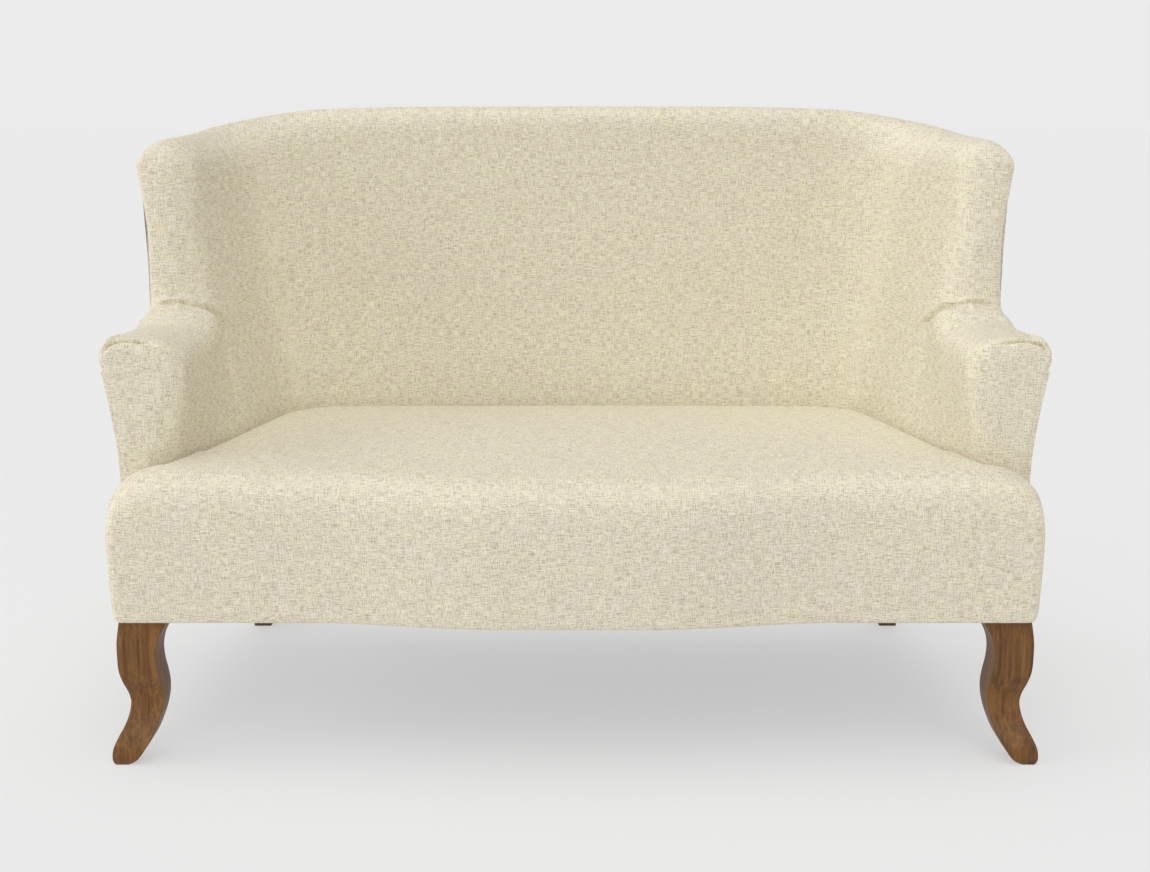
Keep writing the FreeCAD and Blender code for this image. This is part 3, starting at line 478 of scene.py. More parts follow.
# Seat.
EAR_HALF, EAR_FALL, EAR_CORNER, FRONT_ROLL = 720.0, 90.0, 18.0, 58.0
SEAT_GAP, SEAT_EDGE = 1.6, 20.0
BOW_OUT, BOW_DEPTH, BOW_START, BOW_WIDE = 42.0, 35.0, 110.0, 300.0
SEAT_FRONT_HIGH, SEAT_BACK_RISE, SEAT_CROWN, SEAT_DEEP = 470.0, 4.0, 15.0, 478.0
FRAME_TOP, SKIRT_BEND, SKIRT_BACK, TUCK_HALF, TUCK_WIDE = 331.0, 280.0, 48.0, 704.0, 10.0


def bow(x):
    """Depth of the seat's front at one width: forward in the middle."""
    share = min(max((abs(x) - BOW_START) / BOW_WIDE, 0.0), 1.0)
    return -BOW_OUT + BOW_DEPTH * (1 - math.cos(math.pi * share)) / 2


def plan_distance(x, y, z):
    """How far a place is inside the space between the arms and the back."""
    turn, radius, cx, cy, jx, jy, sx, sy, reach = inner_curve(z)
    x = abs(x)
    if x < cx:
        return cy + radius - y
    if (y - cy) * math.cos(turn) > (x - cx) * math.sin(turn):
        return radius - math.hypot(x - cx, y - cy)
    side = math.hypot(x - sx, y - sy) - reach
    return side if sx > jx else -side


def seat_back(x):
    """Depth at which the seat meets the back or an arm."""
    low, high = ARM_FRONT, 700.0
    if plan_distance(x, low, SEAT) < SEAT_GAP:
        return ARM_FRONT - SEAT_GAP
    for step in range(40):
        middle = (low + high) / 2
        if plan_distance(x, middle, SEAT) > SEAT_GAP:
            low = middle
        else:
            high = middle
    return low


def seat_height(x, y):
    """Height of the seat's top at any place."""
    if y < ARM_FRONT:
        return SEAT_FRONT_HIGH - 0.0012 * (ARM_FRONT - y) ** 2
    along = min((y - ARM_FRONT) / SEAT_DEEP, 1.0)
    across = max(1 - (x / INNER_MOUTH[1]) ** 2, 0.0)
    crown = SEAT_CROWN * 4 * along * (1 - along) * across
    return SEAT_FRONT_HIGH + SEAT_BACK_RISE * along + crown


def seat_section(x):
    """One section of the seat from front to back: skirt, rolled front, crowned top and rear."""
    reach = abs(x)
    fall = max((reach - (EAR_HALF - EAR_FALL)) / EAR_FALL, 0.0)
    drop = FRONT_ROLL * (1 - math.sqrt(max(1 - fall * fall, 0.0)))
    turn = max((reach - (EAR_HALF - EAR_CORNER)) / EAR_CORNER, 0.0)
    front = bow(x) + EAR_CORNER * (1 - math.sqrt(max(1 - turn * turn, 0.0)))
    top = seat_height(x, front + FRONT_ROLL) - drop
    start = top - FRONT_ROLL
    low = BASE + EAR_CORNER * (1 - math.sqrt(max(1 - turn * turn, 0.0)))
    points = []
    for k in range(4):
        angle = math.pi / 2 * k / 3
        points.append((x, front + 12.0 + 5.0 * (1 - math.sin(angle)), low + 5.0 * (1 - math.cos(angle))))
    for k in range(1, 22):
        t = k / 21
        bulge = 12.0 * (1 - t) ** 1.6
        points.append((x, front + bulge, low + 5.0 + (start - low - 5.0) * t))
    for k in range(1, 15):
        angle = math.pi / 2 * k / 14
        points.append((x, front + FRONT_ROLL * (1 - math.cos(angle)),
                       start + FRONT_ROLL * math.sin(angle)))
    rear = seat_back(x)
    edge = SEAT_EDGE
    for k in range(1, 61):
        t = k / 60
        y = front + FRONT_ROLL + (rear - front - FRONT_ROLL) * t
        z = seat_height(x, y) - drop
        inside = min(plan_distance(x, y, SEAT) - SEAT_GAP, rear - y) if y > ARM_FRONT - 25 else 99.0
        if reach > 600.0:
            inside = rear - y
        if inside < edge:
            left = (edge - max(inside, 0.0)) / edge
            z -= edge * 0.8 * (1 - math.sqrt(max(1 - left * left, 0.0)))
        points.append((x, y, z))
    for k in range(1, 8):
        points.append((x, rear, points[-1][2] + (FRAME_TOP - points[-1][2]) / (8 - k)))
    # The skirt goes back to the outside panel only at its two ends.
    share = ease((reach - TUCK_HALF) / TUCK_WIDE)
    tuck = SKIRT_BACK + (ARM_FRONT - SEAT_GAP - SKIRT_BACK) * share
    for k in range(1, 6):
        points.append((x, rear + (tuck - rear) * k / 5, FRAME_TOP))
    points.append((x, tuck, SKIRT_BEND))
    points.append((x, tuck, low + 0.5))
    return points


def make_seat():
    """The seat's padding and its cover in one form."""
    count = 120
    halves = [EAR_HALF * (k / count) for k in range(count - 10)]
    last = halves[-1]
    for k in range(1, 21):
        halves.append(last + (EAR_HALF - last) * math.sin(math.pi / 2 * k / 20))
    halves[-1] -= 0.05
    stations = [-x for x in halves[:0:-1]] + halves
    points, faces = tube_of_sections([seat_section(x) for x in stations])
    piece = mesh_piece("seat", to_frame(points), faces)
    return smooth_shading(piece)


seat = make_seat()
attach(seat, "root")
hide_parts("seat_cover", "seat_foam", "front_edge_foam")


# Outside panels: cloth stretched over the outside of the arms, wings and back.
PANEL_START, PANEL_FRONT, PANEL_HALF, BACK_PANEL_HALF = 27.0, 1.5, 402.0, 399.0
PANEL_THICK, PANEL_EDGE, FRONT_TURN, TOP_TURN = 3.0, 7.0, 16.0, 9.0
TURN_PLACES, TURN_TOPS = [0.0, 0.5, 0.8, 0.9, 1.0], [628.0, 634.0, 652.0, 700.0, 901.0]


def arm_column(t):
    """Outside line of the right arm at a share of its depth, as a function of height, and its top."""
    y = ARM_FRONT + PANEL_FRONT + (NOSE_SETBACK - ARM_FRONT - PANEL_FRONT) * t
    return (lambda z: (arm_outer_x(y, z), y)), ARM_SEAM + min(arm_top(y) - ARM_CREST, 20.0)


def turn_column(u):
    """From the arm's outside to the wing's, whose front edge leans back."""
    def line(z):
        y = NOSE_SETBACK + u * (nose_line(z) + PANEL_START - NOSE_SETBACK)
        return arm_outer_x(y, z) * (1 - u) + smooth_value(OUTER_HALF, z) * u, y

    return line, np.interp(u, TURN_PLACES, TURN_TOPS)


def wall_column(s):
    """Outside line of the tub at one place along it, and its top."""
    return (lambda z: wall_pair(s, z)[1]), seam_height(s)


def back_column(x):
    """Outside line of the back at one width, and its top."""
    return (lambda z: (x, smooth_value(OUTER_BACK, z))), seam_height(2.4)


def grid_faces(n, m):
    """Faces of a closed sheet of two layers of n by m points."""
    def at(i, j, layer):
        return layer * n * m + i * m + j

    faces = []
    for i in range(n - 1):
        for j in range(m - 1):
            faces.append((at(i, j, 0), at(i + 1, j, 0), at(i + 1, j + 1, 0), at(i, j + 1, 0)))
            faces.append((at(i, j, 1), at(i, j + 1, 1), at(i + 1, j + 1, 1), at(i + 1, j, 1)))
    for i in range(n - 1):
        for j in (0, m - 1):
            quad = (at(i, j, 0), at(i, j, 1), at(i + 1, j, 1), at(i + 1, j, 0))
            faces.append(quad if j == 0 else quad[::-1])
    for j in range(m - 1):
        for i in (0, n - 1):
            quad = (at(i, j, 0), at(i, j + 1, 0), at(i, j + 1, 1), at(i, j, 1))
            faces.append(quad if i == 0 else quad[::-1])
    return faces


def panel_grid(name, columns, mirrored, turned):
    """A closed thin panel whose edges turn in."""
    rows = 60
    lines = []
    for column, top in columns:
        heights = [BASE + (top - BASE) * k / rows for k in range(rows + 1)]
        lines.append([(*column(z), z) for z in heights])
    grid = np.array(lines, float)
    along = np.gradient(grid, axis=0)
    upward = np.gradient(grid, axis=1)
    normal = np.cross(along, upward)
    normal /= np.linalg.norm(normal, axis=2)[:, :, None]
    if normal[len(lines) // 2, rows // 2, 0] < 0 or normal[-1, rows // 2, 1] < 0:
        normal = -normal
    # The edges in sight are turned under, so the panel is thicker there.
    from_front = np.cumsum(np.linalg.norm(np.diff(grid, axis=0, prepend=grid[:1]), axis=2), axis=0)
    from_top = np.linalg.norm(grid - grid[:, -1:], axis=2)
    edge = np.maximum(bell(from_front, FRONT_TURN) * turned, bell(from_top, TOP_TURN))
    thick = PANEL_THICK + PANEL_EDGE * edge
    inner = grid - normal * thick[:, :, None]
    n, m = grid.shape[:2]
    points = np.concatenate([grid.reshape(-1, 3), inner.reshape(-1, 3)])
    faces = grid_faces(n, m)
    if mirrored:
        points = points * np.array([-1, 1, 1])
        faces = [face[::-1] for face in faces]
    piece = mesh_piece(name, to_frame(points), faces)
    change = piece.modifiers.new("edge", "BEVEL")
    change.width = 0.0011
    change.segments = 2
    change.limit_method = "ANGLE"
    change.angle_limit = math.radians(50)
    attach(piece, "root")
    return smooth_shading(piece)


side_columns = [arm_column(t) for t in np.linspace(0, 0.99, 26)]
side_columns += [turn_column(u) for u in np.linspace(0.0, 0.99, 14)]
side_columns += [wall_column(s) for s in np.linspace(PANEL_START / NOSE_ROUND * 0.3, 2.0, 52)]
# The side panel ends in front of the back panel, on the straight part of the back.
straight = 508.0
side_columns += [wall_column(2.0 + (straight - x) / straight) for x in (460.0, PANEL_HALF)]
panels = []
for side, mirrored in (("right", False), ("left", True)):
    panel = panel_grid("outside_panel_" + side, side_columns, mirrored, 1.0)
    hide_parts("outside_arm_cover_" + side)
    panels.append(panel)
back_columns = [back_column(x) for x in np.linspace(BACK_PANEL_HALF, -BACK_PANEL_HALF, 40)]
back_panel = panel_grid("outside_panel_back", back_columns, False, 0.0)
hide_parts("outside_back_cover")
panels.append(back_panel)


# Legs. Each curve of the front leg is a list of heights with the setback there.
LEG_HALF, LEG_EDGE, BACK_LEG_EDGE = 727.0, 1.6, 2.0
BACK_LEG_HALF, BACK_LEG_DEPTH, BACK_LEG_SPLAY, BACK_LEG_RAKE = 601.0, 623.0, 25.0, 103.0
KNEE = [(0, 3), (10, 0), (26, 1.5), (42, 8), (59, 17), (75, 23), (95, 26.5), (112, 24), (130, 18),
        (150, 13.5), (175, 12.5), (200, 13), (231, 17)]
CALF = [(0, 25), (7, 37), (16, 45), (26, 51.5), (42, 61), (58, 67.5), (75, 73), (95, 77), (115, 78),
        (135, 76), (155, 73), (178, 72), (198, 75.5), (214, 83), (231, 93)]


def along_curve(curve, z):
    """A smooth curve through the leg's setbacks at one height."""
    k = max(i for i in range(len(curve) - 1) if z >= curve[i][0])
    p = [curve[min(max(i, 0), len(curve) - 1)] for i in (k - 1, k, k + 1, k + 2)]
    span = p[2][0] - p[1][0]
    t = (z - p[1][0]) / span
    low = (p[2][1] - p[0][1]) / max(p[2][0] - p[0][0], 1e-6) * span
    high = (p[3][1] - p[1][1]) / max(p[3][0] - p[1][0], 1e-6) * span
    return curve_share(t, p[1][1], p[2][1], low, high)


def rounded_square(x0, x1, y0, y1, z, r):
    """A ring of points round a rectangle with rounded corners."""
    points = []
    corners = ((x1 - r, y0 + r, -90), (x1 - r, y1 - r, 0), (x0 + r, y1 - r, 90), (x0 + r, y0 + r, 180))
    for cx, cy, start in corners:
        for k in range(4):
            angle = math.radians(start + 30 * k)
            points.append((cx + r * math.cos(angle), cy + r * math.sin(angle), z))
    return points


def sided_tube(rings, side):
    """A closed form through rings of the right half, on the right or on the left side."""
    if side < 0:
        rings = [[(-x, y, z) for x, y, z in ring[::-1]] for ring in rings]
    return tube_of_sections(rings)


def front_leg(side):
    """The square cabriole leg: the same two curves seen from the front and from the side."""
    rings = []
    for k in range(101):
        z = BASE * k / 100
        shrink = max(LEG_EDGE - z, 0.0) * 0.6
        knee, calf = along_curve(KNEE, z) + shrink, along_curve(CALF, z) - shrink
        rings.append(rounded_square(LEG_HALF - calf, LEG_HALF - knee, knee, calf, z, LEG_EDGE))
    return sided_tube(rings, side)


def back_leg(side):
    """The back leg, which sweeps back and outwards to its foot."""
    rings = []
    for k in range(61):
        share = k / 60
        sweep = 0.45 * share + 0.55 * share ** 2
        y, x = BACK_LEG_DEPTH + BACK_LEG_RAKE * sweep, BACK_LEG_HALF + BACK_LEG_SPLAY * sweep
        wide, deep = (42.0 - 8.0 * share) / 2, (44.0 + 6.0 * math.sin(math.pi * share)) / 2
        z = BASE * (1 - share)
        rings.append(rounded_square(x - wide, x + wide, y - deep, y + deep, z, BACK_LEG_EDGE))
    return sided_tube(rings, side)


legs = []
for side, word in ((1, "right"), (-1, "left")):
    for name, shape in (("front_leg_", front_leg), ("back_leg_", back_leg)):
        points, faces = shape(side)
        leg = smooth_shading(mesh_piece("turned_" + name + word, to_frame(points), faces))
        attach(leg, "root")
        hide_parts(name + word)
        legs.append(leg)


# Webbing that carries the seat and the back. A strap's outline gives shares of its width and depths.
WEB_WIDE, WEB_PITCH, SEAT_WEBS, BACK_WEBS = 60.0, 125.0, 9, 6
SEAT_WEB_OUTLINE = [(0, 0), (0.12, -0.2), (0.5, -0.3), (0.88, -0.2), (1, 0), (1, 1.04), (0.88, 1.3),
                    (0.5, 1.3), (0.12, 1.3), (0, 1.04)]
BACK_WEB_OUTLINE = [(0, 0), (1, 0), (1, 1.3), (0.88, 1.6), (0.5, 1.6), (0.12, 1.6), (0, 1.3)]
WEB_LANDING = 37.0


def node_box(node):
    """Lowest and highest corner of a CAD node in millimetres from the toe line."""
    low, high = [np.array(corner) * 1000 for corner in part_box(node)]
    return low + (0, MIDDLE, 0), high + (0, MIDDLE, 0)


def joined_straps(name, node, straps):
    """All the straps of one set as one piece."""
    points, faces = joined(straps)
    piece = smooth_shading(mesh_piece(name, to_frame(points), faces))
    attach(piece, "root")
    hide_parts(node)
    return piece


def seat_webs():
    """Straps from the front rail to the back rail."""
    low, high = node_box("seat_webbing")
    level = low[2] + 0.3
    straps = []
    for k in range(SEAT_WEBS):
        x = (k - (SEAT_WEBS - 1) / 2) * WEB_PITCH
        run = [low[1] + (high[1] - low[1]) * t / 24 for t in range(25)]
        rings = [[(x + WEB_WIDE * (u - 0.5), y, level + lift) for u, lift in SEAT_WEB_OUTLINE] for y in run]
        straps.append(tube_of_sections(rings))
    return joined_straps("seat_straps", "seat_webbing", straps)


def back_webs():
    """Straps from the tack rail to the top rail, which lies further back."""
    low, high = node_box("back_webbing")
    lowest_y, highest_y = low[1] + 1.6, high[1]
    tall = high[2] - low[2]
    run = [(lowest_y, low[2])]
    run += [(lowest_y + (highest_y - lowest_y) * t / 16,
             low[2] + WEB_LANDING + (tall - 2 * WEB_LANDING) * t / 16) for t in range(17)]
    run += [(highest_y, high[2])]
    straps = []
    for k in range(BACK_WEBS):
        x = (k - (BACK_WEBS - 1) / 2) * WEB_PITCH
        rings = [[(x + WEB_WIDE * (u - 0.5), y - lift, z) for u, lift in BACK_WEB_OUTLINE] for y, z in run]
        straps.append(tube_of_sections(rings))
    return joined_straps("back_straps", "back_webbing", straps)


seat_straps = seat_webs()


# The cloths above the webbing and below the frame.
def cloth_sheet(name, node, thick, sag, notches=()):
    """A flat cloth over the place of a CAD sheet, sagging a little between its edges.

    Each notch is cut out of both corners of one end: from half a width outwards and from a depth on,
    and whether it lies behind that depth.
    """
    low, high = node_box(node)
    across = sorted({*np.linspace(low[0], high[0], 61), *(side * n[0] for n in notches for side in (-1, 1))})
    along = sorted({*np.linspace(low[1], high[1], 27), *(n[1] for n in notches)})
    points = []
    for layer in (0.0, thick):
        for x in across:
            for y in along:
                u, v = (x - low[0]) / (high[0] - low[0]), (y - low[1]) / (high[1] - low[1])
                points.append((x, y, low[2] + layer + sag * 16 * u * (1 - u) * v * (1 - v)))
    rows, columns = len(along) - 1, len(across) - 1

    def at(i, j, layer):
        return (layer * (columns + 1) + i) * (rows + 1) + j

    def kept(i, j):
        if not (0 <= i < columns and 0 <= j < rows):
            return False
        x, y = (across[i] + across[i + 1]) / 2, (along[j] + along[j + 1]) / 2
        return not any(abs(x) > half and (y > depth) == behind for half, depth, behind in notches)

    faces = []
    for i in range(columns):
        for j in range(rows):
            if not kept(i, j):
                continue
            corners = [(i, j), (i + 1, j), (i + 1, j + 1), (i, j + 1)]
            faces.append(tuple(at(*corner, 1) for corner in corners))
            faces.append(tuple(at(*corner, 0) for corner in corners[::-1]))
            for k, (di, dj) in enumerate([(0, -1), (1, 0), (0, 1), (-1, 0)]):
                if not kept(i + di, j + dj):
                    one, two = corners[k], corners[(k + 1) % 4]
                    faces.append((at(*one, 0), at(*two, 0), at(*two, 1), at(*one, 1)))
    used = sorted({k for face in faces for k in face})
    number = {k: n for n, k in enumerate(used)}
    faces = [tuple(number[k] for k in face) for face in faces]
    piece = smooth_shading(mesh_piece(name, to_frame([points[k] for k in used]), faces))
    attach(piece, "root")
    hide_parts(node)
    return piece


# The dust sheet is notched round the legs.
DUST_NOTCHES = ((622.0, 104.0, False), (560.0, 560.0, True))
dust_sheet = cloth_sheet("dust_sheet", "dust_cover", 1.2, 2.5,
                         DUST_NOTCHES)
hessian_sheet = cloth_sheet("hessian_sheet", "seat_hessian", 0.8, 0.0)


back_straps = back_webs()


# Materials.
class Paint:
    """A node-based material, built one node at a time."""

    def __init__(self, name, **values):
        self.material = bpy.data.materials.new(name)
        self.material.use_nodes = True
        self.nodes = self.material.node_tree.nodes
        self.links = self.material.node_tree.links
        self.shader = self.nodes["Principled BSDF"]
        for socket, value in values.items():
            self.shader.inputs[socket.replace("_", " ")].default_value = value

    def add(self, kind, inputs=(), **settings):
        """One node with its settings, whose inputs are values or other nodes' outputs."""
        node = self.nodes.new("ShaderNode" + kind)
        for name, value in settings.items():
            setattr(node, name, value)
        for k, value in dict(inputs).items():
            if isinstance(value, bpy.types.NodeSocket):
                self.links.new(value, node.inputs[k])
            else:
                node.inputs[k].default_value = value
        return node

    def math(self, operation, a, b=0.0, c=0.0):
        """One step of arithmetic."""
        return self.add("Math", {0: a, 1: b, 2: c}, operation=operation).outputs[0]

    def scaled(self, vector, scale):
        """A place stretched along each axis."""
        return self.add("VectorMath", {0: vector, 1: scale}, operation="MULTIPLY").outputs[0]

    def coordinate(self, vector, axis, rate):
        """One coordinate times a rate, for a regular pattern."""
        part = self.add("SeparateXYZ", {0: vector}).outputs[axis]
        return self.math("MULTIPLY", part, rate)

    def threads(self, flat, rate):
        """The relief of a plain weave."""
        across = self.math("SINE", self.coordinate(flat, 0, rate))
        along = self.math("SINE", self.coordinate(flat, 1, rate))
        return self.math("MULTIPLY", across, along)

    def noise(self, vector, scale, detail=2.0, flat=False):
        """Noise with a rate for each axis."""
        node = self.add("TexNoise", {"Vector": self.scaled(vector, scale), "Scale": 1.0, "Detail": detail},
                        noise_dimensions="2D" if flat else "3D")
        return node.outputs[0]

    def ramp(self, value, stops):
        """A colour for each value, from places and screen colours."""
        node = self.add("ValToRGB", {0: value})
        steps = node.color_ramp.elements
        while len(steps) < len(stops):
            steps.new(0.5)
        for step, (place, colour) in zip(steps, stops):
            step.position = place
            step.color = (*linear(colour), 1.0)
        return node.outputs[0]

    def mix(self, share, a, b, blend="MIX"):
        """Two colours put together."""
        node = self.add("Mix", {0: share, 6: a, 7: b}, data_type="RGBA", blend_type=blend)
        return node.outputs[2]

    def finish(self, colour, height, depth, strength, roughness=None):
        """Join the colour, the relief and the roughness to the shader."""
        self.links.new(colour, self.shader.inputs["Base Color"])
        bump = self.add("Bump", {"Height": height, "Distance": depth, "Strength": strength})
        self.links.new(bump.outputs[0], self.shader.inputs["Normal"])
        if roughness is not None:
            self.links.new(roughness, self.shader.inputs["Roughness"])
        return self.material


def linear(colour):
    """A screen colour from 0 to 255 as the light that it stands for."""
    return tuple((c / 255 / 12.92 if c < 11 else ((c / 255 + 0.055) / 1.055) ** 2.4) for c in colour)


def on_planes(paint, pattern):
    """A flat pattern laid on the front, side and top planes and blended by the surface's direction."""
    place = paint.add("TexCoord")
    x, y, z = paint.add("SeparateXYZ", {0: place.outputs["Object"]}).outputs
    facing = paint.add("SeparateXYZ", {0: place.outputs["Normal"]}).outputs
    weights = [paint.math("POWER", paint.math("ABSOLUTE", value), 6.0) for value in facing]
    total = paint.math("ADD", paint.math("ADD", weights[0], weights[1]), weights[2])
    result = None
    for weight, (u, v) in zip(weights, ((y, z), (x, z), (x, y))):
        flat = paint.add("CombineXYZ", {0: u, 1: v}).outputs[0]
        share = paint.math("DIVIDE", weight, total)
        values = [paint.math("MULTIPLY", value, share) for value in pattern(flat)]
        result = values if result is None else [paint.math("ADD", a, b) for a, b in zip(result, values)]
    return place.outputs["Object"], result


LINEN_DARK, LINEN_MIDDLE = (201, 192, 168), (234, 226, 202)
LINEN_PALE, LINEN_LIGHT = (248, 241, 219), (255, 251, 235)
LINEN_PINKISH, LINEN_PLAIN, LINEN_YELLOWISH = (252, 245, 243), (252, 250, 247), (255, 255, 240)


def linen():
    """Natural linen: threads both ways, uneven ones among them, and soft patches of tone."""
    paint = Paint("linen", Roughness=0.92, Specular_IOR_Level=0.18, Sheen_Weight=0.12, Sheen_Roughness=0.5)

    def weave(flat):
        weft = paint.noise(flat, (70.0, 680.0, 1.0), 2.0, True)
        warp = paint.noise(flat, (680.0, 80.0, 1.0), 2.0, True)
        grain = paint.noise(flat, (620.0, 560.0, 1.0), 1.0, True)
        slub = paint.math("ADD", paint.noise(flat, (14.0, 170.0, 1.0), 2.0, True),
                          paint.noise(flat, (170.0, 16.0, 1.0), 2.0, True))
        tone = paint.math("ADD", paint.math("MULTIPLY", weft, 0.30), paint.math("MULTIPLY", warp, 0.25))
        tone = paint.math("ADD", tone, paint.math("MULTIPLY", grain, 0.30))
        tone = paint.math("ADD", tone, paint.math("MULTIPLY", slub, 0.055))
        return tone, paint.threads(flat, 5700.0)

    place, (tone, threads) = on_planes(paint, weave)
    base = paint.ramp(tone, [(0.39, LINEN_DARK), (0.455, LINEN_MIDDLE), (0.51, LINEN_PALE),
                             (0.57, LINEN_LIGHT)])
    patch = paint.noise(place, (30.0, 30.0, 46.0), 3.0)
    warm = paint.ramp(patch, [(0.36, LINEN_PINKISH), (0.50, LINEN_PLAIN), (0.64, LINEN_YELLOWISH)])
    colour = paint.mix(0.4, base, warm, "MULTIPLY")
    height = paint.math("ADD", tone, paint.math("MULTIPLY", threads, 0.25))
    return paint.finish(colour, height, 0.0009, 0.55)


def wood(name, dark, middle, light, roughness, grain):
    """Straight-grained wood whose grain runs along one axis."""
    paint = Paint(name, Specular_IOR_Level=0.35, Coat_Weight=0.08, Coat_Roughness=0.35)
    place = paint.add("TexCoord").outputs["Object"]
    fibres = paint.noise(place, grain, 4.0)
    bands = paint.noise(place, tuple(0.22 * g for g in grain), 2.0)
    pores = paint.noise(place, tuple(4.0 * g for g in grain), 1.0)
    tone = paint.math("ADD", paint.math("MULTIPLY", fibres, 0.55), paint.math("MULTIPLY", bands, 0.45))
    colour = paint.ramp(tone, [(0.36, dark), (0.50, middle), (0.64, light)])
    shade = paint.ramp(pores, [(0.30, (205, 196, 186)), (0.45, (255, 255, 255))])
    colour = paint.mix(0.8, colour, shade, "MULTIPLY")
    rough = paint.math("MULTIPLY_ADD", fibres, 0.2, roughness - 0.1)
    return paint.finish(colour, paint.math("ADD", fibres, pores), 0.0004, 0.35, rough)


def woven(name, stops, rate, slubs, share, depth, **values):
    """A plain weave with uneven threads, such as webbing, hessian or a dust cloth."""
    paint = Paint(name, **values)

    def weave(flat):
        return paint.threads(flat, rate), paint.noise(flat, slubs, 2.0, True)

    threads, noise = on_planes(paint, weave)[1]
    tone = paint.math("MULTIPLY_ADD", threads, share, noise)
    return paint.finish(paint.ramp(tone, stops), tone, depth, 0.6)


def steel():
    """Zinc plated steel with fine marks."""
    paint = Paint("bolt_steel", Metallic=1.0)
    place = paint.add("TexCoord").outputs["Object"]
    marks = paint.noise(place, (900.0, 900.0, 120.0), 3.0)
    colour = paint.ramp(marks, [(0.35, (120, 120, 122)), (0.65, (168, 168, 170))])
    rough = paint.math("MULTIPLY_ADD", marks, 0.3, 0.2)
    return paint.finish(colour, marks, 0.0002, 0.4, rough)


def foam():
    """Open foam with fine cells."""
    paint = Paint("foam", Roughness=0.95, Specular_IOR_Level=0.1)
    place = paint.add("TexCoord").outputs["Object"]
    cells = paint.noise(place, (1400.0, 1400.0, 1400.0), 2.0)
    colour = paint.ramp(cells, [(0.3, (206, 190, 142)), (0.7, (232, 220, 180))])
    return paint.finish(colour, cells, 0.0008, 0.8)


LEG_WOOD = ((88, 56, 22), (118, 78, 34), (142, 98, 47))
FRAME_WOOD = ((178, 142, 98), (201, 168, 124), (219, 190, 150))
WEBBING = [(0.3, (118, 92, 60)), (0.5, (150, 122, 84)), (0.7, (178, 152, 112))]
HESSIAN = [(0.25, (112, 88, 56)), (0.5, (146, 118, 80)), (0.75, (174, 146, 104))]
DUST_CLOTH = [(0.25, (24, 24, 25)), (0.5, (36, 36, 37)), (0.75, (50, 50, 51))]
SLUBS, HESSIAN_PITCH, DUST_PITCH = (60.0, 500.0, 1.0), 0.0022, 0.0008
LOOKS = {
    "linen": linen(),
    "leg_wood": wood("leg_wood", *LEG_WOOD, 0.5, (190.0, 190.0, 5.0)),
    "frame_wood": wood("frame_wood", *FRAME_WOOD, 0.7, (14.0, 120.0, 120.0)),
    "bolt_steel": steel(),
    "webbing": woven("webbing", WEBBING, 2600.0, (220.0, 220.0, 1.0), 0.18, 0.0008,
                     Roughness=0.85, Specular_IOR_Level=0.2),
    "hessian": woven("hessian", HESSIAN, 2 * math.pi / HESSIAN_PITCH, SLUBS, 0.2, HESSIAN_PITCH / 3,
                     Roughness=0.95, Specular_IOR_Level=0.15),
    "dust_cloth": woven("dust_cloth", DUST_CLOTH, 2 * math.pi / DUST_PITCH, SLUBS, 0.2, DUST_PITCH / 3,
                        Roughness=0.95, Specular_IOR_Level=0.15),
    "foam": foam(),
}
NODE_LOOKS = (("leg_bolts", "bolt_steel"), ("leg_nuts", "bolt_steel"), ("webbing", "webbing"),
              ("hessian", "hessian"), ("dust", "dust_cloth"), ("foam", "foam"), ("cover", "linen"),
              ("front_leg", "leg_wood"), ("back_leg", "leg_wood"))


def wear(piece, look):
    """Give a piece one look."""
    piece.data.materials.clear()
    piece.data.materials.append(LOOKS[look])


def node_look(name):
    """The look of a CAD node, by a word in its name; the rest is frame wood."""
    return next((look for word, look in NODE_LOOKS if word in name), "frame_wood")


for piece in [tub, seat, *panels]:
    wear(piece, "linen")
for leg in legs:
    wear(leg, "leg_wood")
for piece, look in ((dust_sheet, "dust_cloth"), (hessian_sheet, "hessian"), (seat_straps, "webbing"),
                    (back_straps, "webbing")):
    wear(piece, look)
for name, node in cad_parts.items():
    for slot in node.material_slots:
        slot.material = LOOKS[node_look(name)]


# Camera at the photograph's angle.
camera = bpy.data.objects.new("camera", bpy.data.cameras.new("camera"))
bpy.context.scene.collection.objects.link(camera)
camera.location = CAMERA_PLACE
camera.rotation_euler = (math.pi / 2 - CAMERA_PITCH, 0, 0)
camera.data.sensor_width = 36.0
camera.data.lens = FOCUS * 36.0 / IMAGE_WIDE
camera.data.shift_x = (IMAGE_WIDE / 2 - IMAGE_CENTRE) / IMAGE_WIDE
camera.data.clip_end = 1000.0
bpy.context.scene.camera = camera


# Soft studio light: a pale surround and three broad lamps, the strongest from the left.
AROUND = 0.385
LAMPS = (("left_lamp", 1.20, (-1.0, -0.05, 0.25)), ("front_lamp", 0.80, (0.0, -1.0, 0.9)),
         ("top_lamp", 0.70, (0.0, -0.1, 1.0)))
PALE = 0.831
FLOOR = 0.93
FLOOR_GLOW = 0.6


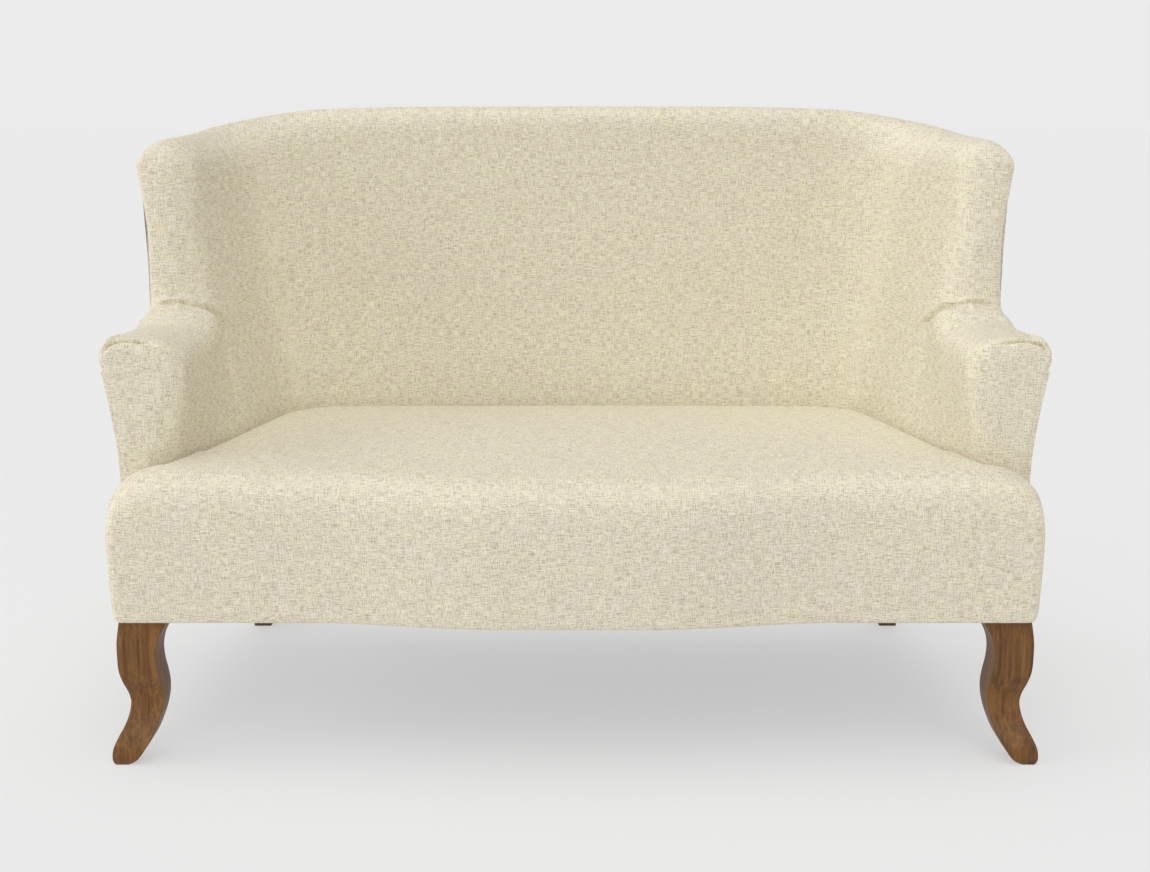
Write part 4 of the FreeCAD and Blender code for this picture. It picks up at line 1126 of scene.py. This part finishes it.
def sees_directly(paint):
    """One for what the camera, a reflection or a see-through surface shows directly."""
    path = paint.add("LightPath").outputs
    seen = paint.math("MAXIMUM", path["Is Camera Ray"], path["Is Glossy Ray"])
    return paint.math("MAXIMUM", seen, path["Is Transmission Ray"])


class WorldPaint(Paint):
    """The surround's nodes, built in the same way."""

    def __init__(self, world):
        world.use_nodes = True
        self.nodes, self.links = world.node_tree.nodes, world.node_tree.links


world = bpy.data.worlds.new("studio")
bpy.context.scene.world = world
studio = WorldPaint(world)
light = studio.nodes["Background"]
light.inputs["Color"].default_value = (1.0, 1.0, 1.0, 1.0)
light.inputs["Strength"].default_value = AROUND
shown = studio.add("Background", {"Color": (PALE, PALE, PALE, 1.0)})
chosen = studio.add("MixShader", {0: sees_directly(studio), 1: light.outputs[0], 2: shown.outputs[0]})
studio.links.new(chosen.outputs[0], studio.nodes["World Output"].inputs[0])

for name, energy, direction in LAMPS:
    lamp = bpy.data.objects.new(name, bpy.data.lights.new(name, "SUN"))
    bpy.context.scene.collection.objects.link(lamp)
    lamp.data.energy = energy
    lamp.data.angle = math.radians(55)
    lamp.rotation_mode = "QUATERNION"
    lamp.rotation_quaternion = Vector(direction).to_track_quat("Z", "Y")

bpy.context.scene.view_settings.view_transform = "Standard"

floor = mesh_piece("floor", [(-60, -30, 0), (60, -30, 0), (60, 120, 0), (-60, 120, 0)], [(0, 1, 2, 3)])
floor_paint = Paint("floor", Roughness=1.0, Specular_IOR_Level=0.0)
floor_paint.shader.inputs["Base Color"].default_value = (FLOOR, FLOOR, FLOOR, 1.0)
glow = floor_paint.add("Emission", {"Color": (PALE, PALE, PALE, 1.0), "Strength": 1.0})
share = floor_paint.math("MULTIPLY", sees_directly(floor_paint), FLOOR_GLOW)
mixed = floor_paint.add("MixShader", {0: share, 1: floor_paint.shader.outputs[0], 2: glow.outputs[0]})
floor_paint.links.new(mixed.outputs[0], floor_paint.nodes["Material Output"].inputs[0])
floor.data.materials.append(floor_paint.material)
